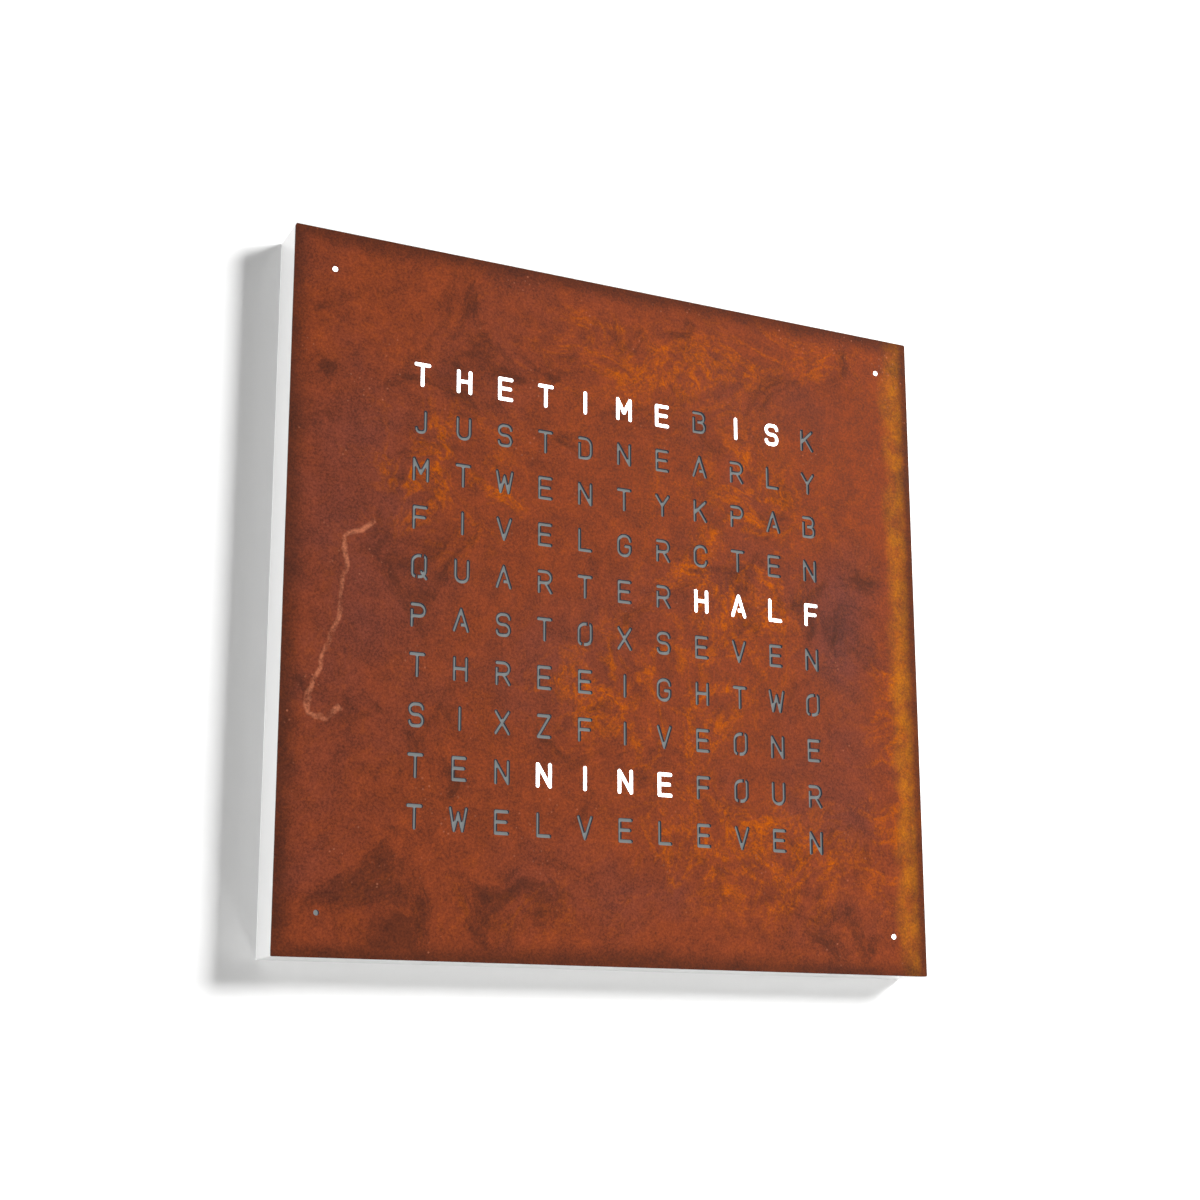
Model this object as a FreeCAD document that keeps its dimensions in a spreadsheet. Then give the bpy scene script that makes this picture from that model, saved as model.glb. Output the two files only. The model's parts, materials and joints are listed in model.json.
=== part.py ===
import FreeCAD, Part

import os
import re

import Sketcher

# A square word clock for a wall. A steel front sheet pulls off eight magnets. Behind it lie a
# diffuser, a grid of tapered light chambers with one lamp each, a carrier plate and, between
# the carrier plate and the rear panel, the clock's electronics.
# The origin is the centre of the face that lies on the wall. +X is to the right seen from the
# front, +Z is up, and the front faces -Y. A level is a distance from the wall, in millimetres.

DOC = FreeCAD.newDocument("word_clock")

# Driving dimensions in millimetres and degrees, and counts
DRIVING_SIZES = {
    # Outline and the stack from the wall to the front
    "face_side": 450,
    "corner_break": 0.6,
    "rear_inset": 0.6,
    "rear_panel_thick": 2.4,
    "bay_depth": 8.4,
    "carrier_thick": 3,
    "lamp_board_thick": 1.6,
    "chamber_depth": 13,
    "diffuser_thick": 1,
    "cover_thick": 2,
    # Housing frame
    "rim_width": 11,
    "diffuser_shelf": 3,
    "flange_width": 12,
    "sheet_gap": 0.3,
    # Field of letters
    "letter_columns": 11,
    "letter_rows": 10,
    "column_pitch_share": 0.0625,
    "row_pitch_share": 0.069,
    "chamber_wall": 1.6,
    "chamber_taper": 3.5,
    "lamp_side": 5,
    "lamp_height": 1.6,
    "lamp_board_margin": 6,
    # Minute lights in the corners
    "minute_inset": 25.7,
    "minute_hole": 3.4,
    "minute_tube_outside": 10,
    "minute_tube_bore": 6,
    "minute_board_side": 20,
    "minute_lamp_side": 3.5,
    "minute_lamp_height": 0.8,
    "minute_lead_inset": 20,
    "flat_lead_width": 6,
    "flat_lead_thick": 0.6,
    # Magnets and locating studs of the front cover
    "magnet_side": 8,
    "magnet_height": 3,
    "magnet_spread": 75,
    "magnet_gap": 0.05,
    "stud_diameter": 4,
    "stud_length": 5,
    "stud_side_gap": 0.2,
    "stud_end_gap": 0.6,
    # Screws, and how wide a regular polygon's side or point is for its width across the flats
    "eight_side_ratio": 0.414214,
    "six_point_ratio": 0.57735,
    "screw_diameter": 2.9,
    "screw_head": 5.6,
    "screw_head_height": 1.2,
    "screw_length": 6,
    "screw_pass_gap": 0.25,
    "screw_thread_gap": 0.05,
    "counterbore_gap": 0.2,
    "carrier_screw_spread": 110,
    # Controller board and what is soldered to it
    "board_width": 110,
    "board_height": 60,
    "board_thick": 1.6,
    "board_centre_drop": 95,
    "standoff_height": 2,
    "standoff_across": 6,
    "standoff_inset": 5,
    "processor_side": 10,
    "processor_height": 1.2,
    "processor_shift": 22,
    "driver_width": 10.2,
    "driver_depth": 5.3,
    "driver_height": 1.8,
    "driver_pitch": 12,
    "driver_shift": 24,
    "crystal_width": 8,
    "crystal_depth": 3.5,
    "crystal_height": 2.4,
    "crystal_drop": 12,
    "cell_diameter": 20,
    "cell_height": 3.2,
    "cell_shift": 34,
    "cell_rise": 6,
    "holder_wall": 1.2,
    "holder_floor": 0.6,
    "holder_gap": 0.2,
    "capacitor_diameter": 5,
    "capacitor_height": 4.2,
    "capacitor_pitch": 9,
    "capacitor_drop": 21,
    # Ribbon cable from the lamp board to the controller board
    "ribbon_width": 12.7,
    "ribbon_thick": 0.9,
    "header_width": 16,
    "header_depth": 6,
    "header_standing": 1.9,
    "header_window_gap": 1,
    "lamp_header_drop": 40,
    "header_inset": 7,
    # Power socket and the tray that its plug goes into
    "jack_width": 9,
    "jack_length": 14,
    "jack_height": 6,
    "jack_level": 3.6,
    "jack_bore": 4.2,
    "jack_bore_depth": 10,
    "jack_pin": 1.6,
    "jack_in_board": 6,
    "jack_gap": 0.3,
    "tray_width": 32,
    "tray_length": 56,
    "tray_wall": 1.2,
    "tray_depth": 6.8,
    "tray_flange": 3,
    "tray_flange_thick": 1,
    "tray_from_board": 6,
    # Keyhole plates
    "hanger_spacing": 220,
    "hanger_rise": 168,
    "hanger_width": 44,
    "hanger_height": 52,
    "hanger_thick": 1.5,
    "keyhole_head": 9.5,
    "keyhole_slot": 5,
    "keyhole_travel": 15,
    "keyhole_drop": 8,
    "hanger_window_width": 20,
    "hanger_window_height": 36,
    "rivet_diameter": 3,
    "rivet_head": 5,
    "rivet_head_height": 0.8,
    "rivet_gap": 0.05,
    "rivet_inset": 6,
    # Buttons, their switches and the light sensor in the right wall
    "button_bay_drop": 50,
    "button_bay_length": 88,
    "button_bay_depth": 6.8,
    "button_pitch": 18,
    "button_diameter": 5,
    "button_side_gap": 0.1,
    "button_proud": 1.2,
    "button_dome": 0.4,
    "button_collar": 6.2,
    "button_collar_thick": 1.2,
    "button_collar_gap": 0.3,
    "switch_side": 6,
    "switch_height": 3.5,
    "switch_stem": 3,
    "switch_stem_gap": 0.15,
    "switch_stem_standing": 2,
    "switch_stem_inside": 0.6,
    "switch_bore_depth": 1.9,
    "button_board_thick": 1.6,
    "button_board_level": 3.4,
    "groove_depth": 2,
    "groove_gap": 0.1,
    "pipe_diameter": 3,
    "pipe_side_gap": 0.05,
    "pipe_inside": 5,
    "sensor_side": 3,
    "sensor_height": 1.2,
    "button_lead_turn": 150,
}

# Sizes that follow the driving ones: the field of letters grows with the face
FOLLOWING_SIZES = {
    "column_pitch": "face_side * column_pitch_share",
    "row_pitch": "face_side * row_pitch_share",
}

# Levels of the stack, as distances from the wall
PANEL_BACK = "rear_inset"
PANEL_FRONT = f"({PANEL_BACK} + rear_panel_thick)"
CARRIER_BACK = f"({PANEL_FRONT} + bay_depth)"
CARRIER_FRONT = f"({CARRIER_BACK} + carrier_thick)"
LAMP_BOARD_FRONT = f"({CARRIER_FRONT} + lamp_board_thick)"
GRID_FRONT = f"({LAMP_BOARD_FRONT} + chamber_depth)"
RIM_FRONT = f"({GRID_FRONT} + diffuser_thick)"

# Square openings and sheets that nest inside the outline
DIFFUSER_RECESS = "(face_side - 2 * rim_width)"
WELL_SIDE = f"({DIFFUSER_RECESS} - 2 * diffuser_shelf)"
BAY_SIDE = f"({WELL_SIDE} - 2 * flange_width)"
FITTED_SHEET = f"({WELL_SIDE} - 2 * sheet_gap)"
RIM_LINE = "(face_side / 2 - rim_width / 2)"
FLANGE_LINE = f"({WELL_SIDE} / 2 - flange_width / 2)"
MINUTE_LINE = "(face_side / 2 - minute_inset)"

# Field of light chambers
GRID_WIDTH = "(letter_columns * column_pitch + chamber_wall)"
GRID_HEIGHT = "(letter_rows * row_pitch + chamber_wall)"
FIRST_COLUMN = "(-column_pitch * (letter_columns - 1) / 2)"
FIRST_ROW = "(-row_pitch * (letter_rows - 1) / 2)"
GRID_SCREW_X = "(column_pitch * (letter_columns - 2) / 2)"
GRID_SCREW_Z = "(row_pitch * (letter_rows - 2) / 2)"
LAMP_BOARD_WIDTH = f"({GRID_WIDTH} + 2 * lamp_board_margin)"
LAMP_BOARD_HEIGHT = f"({GRID_HEIGHT} + 2 * lamp_board_margin)"

# Controller board, socket and plug tray
BOARD_FRONT = f"({CARRIER_BACK} - standoff_height)"
BOARD_BACK = f"({BOARD_FRONT} - board_thick)"
BOARD_Z = "(-board_centre_drop)"
BOARD_BOTTOM = f"({BOARD_Z} - board_height / 2)"
BOARD_TOP = f"({BOARD_Z} + board_height / 2)"
JACK_TOP = f"({BOARD_BOTTOM} + jack_in_board)"
JACK_BOTTOM = f"({JACK_TOP} - jack_length)"
TRAY_TOP = f"({BOARD_BOTTOM} - tray_from_board)"
TRAY_Z = f"({TRAY_TOP} - tray_length / 2)"
HEADER_BACK = f"({BOARD_BACK} - header_standing)"
BOARD_HEADER_Z = f"({BOARD_TOP} - header_inset)"
LAMP_HEADER_Z = "(-lamp_header_drop)"

# Button bay in the right wall
WALL_INSIDE = f"({WELL_SIDE} / 2)"
WALL_OUTSIDE = "(face_side / 2)"
BAY_Z = "(-button_bay_drop)"
BAY_FLOOR = f"({PANEL_FRONT} + button_bay_depth)"
BUTTON_LEVEL = f"({PANEL_FRONT} + button_bay_depth / 2)"
COLLAR_FACE = f"({WALL_INSIDE} - button_collar_gap)"
COLLAR_BACK = f"({COLLAR_FACE} - button_collar_thick)"
SWITCH_TOP = f"({COLLAR_BACK} - switch_stem_standing)"
BUTTON_BOARD_FRONT = f"({SWITCH_TOP} - switch_height)"
BUTTON_BOARD_BACK = f"({BUTTON_BOARD_FRONT} - button_board_thick)"
SENSOR_Z = f"({BAY_Z} - 2 * button_pitch)"
BUTTON_PLACES = {
    "mode": f"({BAY_Z} + button_pitch)",
    "hours": BAY_Z,
    "minutes": f"({BAY_Z} - button_pitch)",
}

SCREW_HOLE = "(screw_diameter + 2 * screw_pass_gap)"
PILOT_HOLE = "(screw_diameter + 2 * screw_thread_gap)"
SIDES = {"left": -1, "right": 1}
CORNERS = {
    "top_left": (-1, 1),
    "top_right": (1, 1),
    "bottom_left": (-1, -1),
    "bottom_right": (1, -1),
}
PIECES = []


def fill_sheet():
    """Writes each dimension into its own named cell, a following one as its formula."""
    sheet = DOC.addObject("Spreadsheet::Sheet", "Sizes")
    cells = dict(DRIVING_SIZES)
    cells.update({name: f"={formula}" for name, formula in FOLLOWING_SIZES.items()})
    for row, (name, value) in enumerate(cells.items(), 1):
        sheet.set(f"A{row}", name)
        sheet.set(f"B{row}", str(value))
        sheet.setAlias(f"B{row}", name)
    DOC.recompute()


def sized(text):
    """Turns the names of sizes in a formula into references to their cells."""
    return re.sub(r"[a-z][a-z_]*", lambda word: "Sizes." + word.group(0), text)


def value_of(text):
    """Gives the present value of a formula of sizes."""
    for name, formula in FOLLOWING_SIZES.items():
        text = re.sub(rf"\b{name}\b", f"({formula})", text)
    for name, value in DRIVING_SIZES.items():
        text = re.sub(rf"\b{name}\b", str(float(value)), text)
    return float(FreeCAD.Units.parseQuantity(text).Value)


def rectangle(width, height, x="0", z="0"):
    """A rectangle by its two sizes and its centre."""
    left = f"({x}) - ({width}) / 2"
    right = f"({x}) + ({width}) / 2"
    low = f"({z}) - ({height}) / 2"
    high = f"({z}) + ({height}) / 2"
    return outline([(left, low), (right, low), (right, high), (left, high)])


def outline(points):
    """A closed outline of straight edges through points given as formulas."""
    return {"kind": "outline", "points": points}


def hexagon(across, x="0", z="0"):
    """A hexagon by its width across the flats, with two flats upright, and its centre."""
    point = f"({across}) * six_point_ratio"
    half = f"({across}) / 2"
    low, high = f"({z}) - {point} / 2", f"({z}) + {point} / 2"
    left, right = f"({x}) - {half}", f"({x}) + {half}"
    return outline([(x, f"({z}) - {point}"), (right, low), (right, high),
                    (x, f"({z}) + {point}"), (left, high), (left, low)])


def eight_sided(across, x="0", z="0"):
    """An octagon by its width across the flats and its centre, for small screws and their holes."""
    half = f"({across}) / 2"
    near = f"({across}) * eight_side_ratio / 2"
    turns = [(half, near), (near, half), (f"-{near}", half), (f"-{half}", near),
             (f"-{half}", f"-{near}"), (f"-{near}", f"-{half}"), (near, f"-{half}"),
             (half, f"-{near}")]
    return outline([(f"({x}) + {step_x}", f"({z}) + {step_z}") for step_x, step_z in turns])


def circle(diameter, x="0", z="0"):
    """A circle by its diameter and its centre."""
    return {"kind": "circle", "diameter": diameter, "centre": (x, z)}


def mirrored_spots(spot_x, spot_z):
    """The four places that mirror each other about both middle planes."""
    return [(f"{side_x} * {spot_x}", f"{side_z} * {spot_z}") for side_x, side_z in CORNERS.values()]


def edge_spots(line, spread):
    """Two places on each side of a square whose half side is line, spread from the middle."""
    return mirrored_spots(line, spread) + mirrored_spots(spread, line)


class Drawing:
    """The lines, circles and constraints of one sketch, gathered and added together."""

    def __init__(self):
        """Starts empty."""
        self.geometry = []
        self.constraints = []
        self.formulas = []

    def tie(self, constraint, name, formula):
        """Keeps a constraint whose value follows a formula."""
        self.formulas.append((len(self.constraints), name, formula))
        self.constraints.append(constraint)

    def pin_point(self, item, end, spot, tag):
        """Ties one point of the sketch to two formulas, one for each sketch axis."""
        for axis, formula in zip(("DistanceX", "DistanceY"), spot):
            constraint = Sketcher.Constraint(axis, -1, 1, item, end, value_of(formula))
            self.tie(constraint, f"{tag}_{axis[-1].lower()}", formula)

    def add_circle(self, shape, tag):
        """Adds a circle, tied at its centre and by its diameter."""
        item = len(self.geometry)
        centre = FreeCAD.Vector(*(value_of(formula) for formula in shape["centre"]), 0)
        radius = value_of(shape["diameter"]) / 2
        self.geometry.append(Part.Circle(centre, FreeCAD.Vector(0, 0, 1), radius))
        self.pin_point(item, 3, shape["centre"], tag)
        across = Sketcher.Constraint("Diameter", item, 2 * radius)
        self.tie(across, f"{tag}_across", shape["diameter"])

    def add_outline(self, shape, tag):
        """Adds a closed outline of lines, tied at each of its corners."""
        first = len(self.geometry)
        corners = [FreeCAD.Vector(value_of(x), value_of(z), 0) for x, z in shape["points"]]
        count = len(corners)
        for number, spot in enumerate(shape["points"]):
            item = first + number
            following = (number + 1) % count
            self.geometry.append(Part.LineSegment(corners[number], corners[following]))
            self.constraints.append(
                Sketcher.Constraint("Coincident", item, 2, first + following, 1))
            self.pin_point(item, 1, spot, f"{tag}_{number}")

    def put_in(self, sketch):
        """Adds everything to the sketch and ties the constraints to their formulas."""
        sketch.addGeometry(self.geometry, False)
        sketch.addConstraint(self.constraints)
        for index, name, formula in self.formulas:
            sketch.renameConstraint(index, name)
            sketch.setExpression(f".Constraints.{name}", sized(formula))


class Piece:
    """One separate piece of the clock, as a body of features on its own planes."""

    def __init__(self, name):
        """Makes the empty body."""
        self.body = DOC.addObject("PartDesign::Body", name)
        self.body.Label = name
        self.count = 0
        PIECES.append(self.body)

    def name(self, kind):
        """A new name for a feature of this piece."""
        self.count += 1
        return f"{self.body.Name}_{kind}_{self.count}"

    def sketch(self, level, shapes, plane="XZ_Plane"):
        """A sketch parallel to one of the body's own planes, level away from it."""
        sketch = self.body.newObject("Sketcher::SketchObject", self.name("sketch"))
        support = next(item for item in self.body.Origin.OriginFeatures if item.Role == plane)
        sketch.AttachmentSupport = [(support, "")]
        sketch.MapMode = "FlatFace"
        sketch.setExpression("AttachmentOffset.Base.z", sized(level))
        drawing = Drawing()
        for number, shape in enumerate(shapes):
            add = drawing.add_circle if shape["kind"] == "circle" else drawing.add_outline
            add(shape, f"shape{number}")
        drawing.put_in(sketch)
        return sketch

    def extrude(self, kind, level, length, shapes, plane="XZ_Plane"):
        """Adds a Pad above the level, or a Pocket below it."""
        sketch = self.sketch(level, shapes, plane)
        feature = self.body.newObject(f"PartDesign::{kind}", self.name(kind.lower()))
        feature.Profile = sketch
        feature.setExpression("Length", sized(length))
        return feature

    def pad(self, level, length, shapes, **options):
        """Adds material from the level towards the front."""
        return self.extrude("Pad", level, length, shapes, **options)

    def pocket(self, level, length, shapes, **options):
        """Cuts from the level back towards the wall."""
        return self.extrude("Pocket", level, length, shapes, **options)

    def repeat(self, feature, sketch):
        """Repeats a feature over every letter's place."""
        pattern = self.body.newObject("PartDesign::MultiTransform", self.name("field"))
        across = self.body.newObject("PartDesign::LinearPattern", self.name("columns"))
        across.Direction = (sketch, ["H_Axis"])
        across.setExpression("Length", sized("column_pitch * (letter_columns - 1)"))
        across.setExpression("Occurrences", sized("letter_columns"))
        upward = self.body.newObject("PartDesign::LinearPattern", self.name("rows"))
        upward.Direction = (sketch, ["V_Axis"])
        upward.setExpression("Length", sized("row_pitch * (letter_rows - 1)"))
        upward.setExpression("Occurrences", sized("letter_rows"))
        pattern.Originals = [feature]
        pattern.Transformations = [across, upward]
        self.body.Tip = pattern

    def break_corners(self, size):
        """Takes the sharpness off the four outer edges that run from the wall to the front."""
        DOC.recompute()
        base = self.body.Tip
        half = value_of("face_side / 2")
        names = []
        for number, edge in enumerate(base.Shape.Edges, 1):
            spots = [vertex.Point for vertex in edge.Vertexes]
            if all(abs(abs(p.x) - half) + abs(abs(p.z) - half) < 0.01 for p in spots):
                names.append(f"Edge{number}")
        chamfer = self.body.newObject("PartDesign::Chamfer", self.name("break"))
        chamfer.Base = (base, names)
        chamfer.setExpression("Size", sized(size))

    def revolve(self, points, x, level, z):
        """Turns a half outline about an axis that runs along X, at a level and a height."""
        sketch = self.sketch("0", [outline(points)], "XY_Plane")
        turn = self.body.newObject("PartDesign::Revolution", self.name("turn"))
        turn.Profile = sketch
        turn.ReferenceAxis = (sketch, ["H_Axis"])
        turn.Angle = 360
        self.body.setExpression("Placement.Base.x", sized(x))
        self.body.setExpression("Placement.Base.y", sized(f"-({level})"))
        self.body.setExpression("Placement.Base.z", sized(z))

    def chamber(self, x, z):
        """Cuts one light chamber: a wedge from its wide mouth in front to its narrow throat.

        The wedge's own Y runs to the wall, so its first end is the mouth.
        """
        wedge = self.body.newObject("PartDesign::SubtractiveWedge", self.name("chamber"))
        reach_x = "(column_pitch - chamber_wall) / 2"
        reach_z = "(row_pitch - chamber_wall) / 2"
        edges = {
            "Ymin": f"-{GRID_FRONT}", "Ymax": f"-{LAMP_BOARD_FRONT}",
            "Xmin": f"{x} - {reach_x}", "Xmax": f"{x} + {reach_x}",
            "Zmin": f"{z} - {reach_z}", "Zmax": f"{z} + {reach_z}",
            "X2min": f"{x} - {reach_x} + chamber_taper", "X2max": f"{x} + {reach_x} - chamber_taper",
            "Z2min": f"{z} - {reach_z} + chamber_taper", "Z2max": f"{z} + {reach_z} - chamber_taper",
        }
        for edge, formula in edges.items():
            wedge.setExpression(edge, sized(formula))
        return wedge


def make_housing():
    """The white frame: rim, diffuser shelf, inner flange, screw holes and the button bay."""
    housing = Piece("housing_frame")
    housing.pad("0", RIM_FRONT, [rectangle("face_side", "face_side")])
    housing.break_corners("corner_break")
    housing.pocket(RIM_FRONT, "diffuser_thick", [rectangle(DIFFUSER_RECESS, DIFFUSER_RECESS)])
    housing.pocket(GRID_FRONT, f"{GRID_FRONT} - {CARRIER_BACK}", [rectangle(WELL_SIDE, WELL_SIDE)])
    housing.pocket(CARRIER_BACK, CARRIER_BACK, [rectangle(BAY_SIDE, BAY_SIDE)])
    housing.pocket(PANEL_FRONT, PANEL_FRONT, [rectangle(WELL_SIDE, WELL_SIDE)])
    magnet_pocket = "magnet_side + 2 * magnet_gap"
    housing.pocket(RIM_FRONT, "magnet_height",
                   [rectangle(magnet_pocket, magnet_pocket, x, z)
                    for x, z in edge_spots(RIM_LINE, "magnet_spread")])
    stud_hole = "stud_diameter + 2 * stud_side_gap"
    housing.pocket(RIM_FRONT, "stud_length + stud_end_gap",
                   [circle(stud_hole, x, z) for x, z in mirrored_spots(RIM_LINE, RIM_LINE)])
    carrier_spots = mirrored_spots(FLANGE_LINE, "carrier_screw_spread")
    housing.pocket(CARRIER_BACK, "screw_length - carrier_thick + screw_pass_gap",
                   [eight_sided(PILOT_HOLE, x, z) for x, z in carrier_spots])
    panel_spots = mirrored_spots(FLANGE_LINE, FLANGE_LINE)
    housing.pocket(f"{PANEL_FRONT} + screw_length", "screw_length",
                   [eight_sided(PILOT_HOLE, x, z) for x, z in panel_spots])
    bay = rectangle("2 * flange_width", "button_bay_length", f"{WALL_INSIDE} - flange_width", BAY_Z)
    housing.pocket(BAY_FLOOR, "button_bay_depth", [bay])
    groove = rectangle("button_board_thick + 2 * groove_gap", "button_bay_length + 2 * groove_depth",
                       f"{BUTTON_BOARD_BACK} + button_board_thick / 2", BAY_Z)
    housing.pocket(BAY_FLOOR, "button_bay_depth", [groove])
    bores = [circle("button_diameter + 2 * button_side_gap", f"-{BUTTON_LEVEL}", z)
             for z in BUTTON_PLACES.values()]
    bores.append(circle("pipe_diameter + 2 * pipe_side_gap", f"-{BUTTON_LEVEL}", SENSOR_Z))
    wall = f"{WALL_OUTSIDE} - {WALL_INSIDE}"
    housing.pocket(WALL_OUTSIDE, wall, bores, plane="YZ_Plane")


def make_cover():
    """The steel front sheet with its four minute holes, its studs, and the magnets behind it."""
    cover = Piece("front_cover")
    corner_spots = mirrored_spots(MINUTE_LINE, MINUTE_LINE)
    cover.pad(RIM_FRONT, "cover_thick", [rectangle("face_side", "face_side")])
    cover.break_corners("corner_break")
    cover.pocket(f"{RIM_FRONT} + cover_thick", "cover_thick",
                 [circle("minute_hole", x, z) for x, z in corner_spots])
    studs = Piece("cover_studs")
    studs.pad(f"{RIM_FRONT} - stud_length", "stud_length",
              [circle("stud_diameter", x, z) for x, z in mirrored_spots(RIM_LINE, RIM_LINE)])
    magnets = Piece("cover_magnets")
    magnets.pad(f"{RIM_FRONT} - magnet_height", "magnet_height",
                [rectangle("magnet_side", "magnet_side", x, z)
                 for x, z in edge_spots(RIM_LINE, "magnet_spread")])


def make_light_field():
    """Diffuser, light grid with one tapered chamber for each letter, lamp board and lamps."""
    diffuser = Piece("diffuser_sheet")
    side = f"{DIFFUSER_RECESS} - 2 * sheet_gap"
    diffuser.pad(GRID_FRONT, "diffuser_thick", [rectangle(side, side)])

    grid = Piece("light_grid")
    pilots = [eight_sided(PILOT_HOLE, x, z) for x, z in mirrored_spots(GRID_SCREW_X, GRID_SCREW_Z)]
    block = grid.pad(LAMP_BOARD_FRONT, "chamber_depth", [rectangle(GRID_WIDTH, GRID_HEIGHT)])
    grid.pocket(f"{LAMP_BOARD_FRONT} + screw_length", "screw_length", pilots)
    grid.repeat(grid.chamber(FIRST_COLUMN, FIRST_ROW), block.Profile[0])

    board = Piece("lamp_board")
    holes = [eight_sided(SCREW_HOLE, x, z) for x, z in mirrored_spots(GRID_SCREW_X, GRID_SCREW_Z)]
    board.pad(CARRIER_FRONT, "lamp_board_thick",
              [rectangle(LAMP_BOARD_WIDTH, LAMP_BOARD_HEIGHT)] + holes)

    lamps = Piece("letter_lamps")
    first_lamp = rectangle("lamp_side", "lamp_side", FIRST_COLUMN, FIRST_ROW)
    lamp = lamps.pad(LAMP_BOARD_FRONT, "lamp_height", [first_lamp])
    lamps.repeat(lamp, lamp.Profile[0])


def make_minute_lights():
    """In each corner a small lamp board with its tube, and the leads to the lamp board."""
    lamps = Piece("minute_lamps")
    lamps.pad(LAMP_BOARD_FRONT, "minute_lamp_height",
              [rectangle("minute_lamp_side", "minute_lamp_side", x, z)
               for x, z in mirrored_spots(MINUTE_LINE, MINUTE_LINE)])
    for corner, (side_x, side_z) in CORNERS.items():
        spot = (f"{side_x} * {MINUTE_LINE}", f"{side_z} * {MINUTE_LINE}")
        board = Piece(f"minute_board_{corner}")
        board.pad(CARRIER_FRONT, "lamp_board_thick",
                  [rectangle("minute_board_side", "minute_board_side", *spot)])
        tube = Piece(f"minute_tube_{corner}")
        tube.pad(LAMP_BOARD_FRONT, "chamber_depth",
                 [rectangle("minute_tube_outside", "minute_tube_outside", *spot),
                  rectangle("minute_tube_bore", "minute_tube_bore", *spot)])
        lead = Piece(f"minute_lead_{corner}")
        start_x = f"{side_x} * ({MINUTE_LINE} - minute_board_side / 2)"
        near_x = f"{side_x} * ({LAMP_BOARD_WIDTH} / 2 - minute_lead_inset)"
        far_x = f"{near_x} - {side_x} * flat_lead_width"
        outer_z = f"{side_z} * ({MINUTE_LINE} + flat_lead_width / 2)"
        inner_z = f"{side_z} * ({MINUTE_LINE} - flat_lead_width / 2)"
        end_z = f"{side_z} * {LAMP_BOARD_HEIGHT} / 2"
        lead.pad(CARRIER_FRONT, "flat_lead_thick",
                 [outline([(start_x, outer_z), (far_x, outer_z), (far_x, end_z),
                           (near_x, end_z), (near_x, inner_z), (start_x, inner_z)])])


def make_carrier():
    """The plate that carries the lamp board in front and the electronics behind."""
    plate = Piece("carrier_plate")
    outer_spots = mirrored_spots(FLANGE_LINE, "carrier_screw_spread")
    grid_spots = mirrored_spots(GRID_SCREW_X, GRID_SCREW_Z)
    window = rectangle("header_width + 2 * header_window_gap", "header_depth + 2 * header_window_gap",
                       "0", LAMP_HEADER_Z)
    holes = [eight_sided(SCREW_HOLE, x, z) for x, z in outer_spots + grid_spots]
    pilots = [eight_sided(PILOT_HOLE, x, z) for x, z in board_screw_spots()]
    plate.pad(CARRIER_BACK, "carrier_thick",
              [rectangle(FITTED_SHEET, FITTED_SHEET), window] + holes + pilots)

    screws = Piece("carrier_screws")
    screws.pad(f"{CARRIER_FRONT} - screw_length", "screw_length",
               [eight_sided("screw_diameter", x, z) for x, z in outer_spots])
    screws.pad(CARRIER_FRONT, "screw_head_height",
               [eight_sided("screw_head", x, z) for x, z in outer_spots])

    grid_screws = Piece("grid_screws")
    reach = "carrier_thick + lamp_board_thick + screw_length - screw_pass_gap"
    grid_screws.pad(CARRIER_BACK, reach,
                    [eight_sided("screw_diameter", x, z) for x, z in grid_spots])
    grid_screws.pad(f"{CARRIER_BACK} - screw_head_height", "screw_head_height",
                    [eight_sided("screw_head", x, z) for x, z in grid_spots])


def board_screw_spots():
    """The four places of the controller board's screws."""
    across = "(board_width / 2 - standoff_inset)"
    upward = "(board_height / 2 - standoff_inset)"
    return [(f"{side_x} * {across}", f"{BOARD_Z} + {side_z} * {upward}")
            for side_x, side_z in CORNERS.values()]


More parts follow.
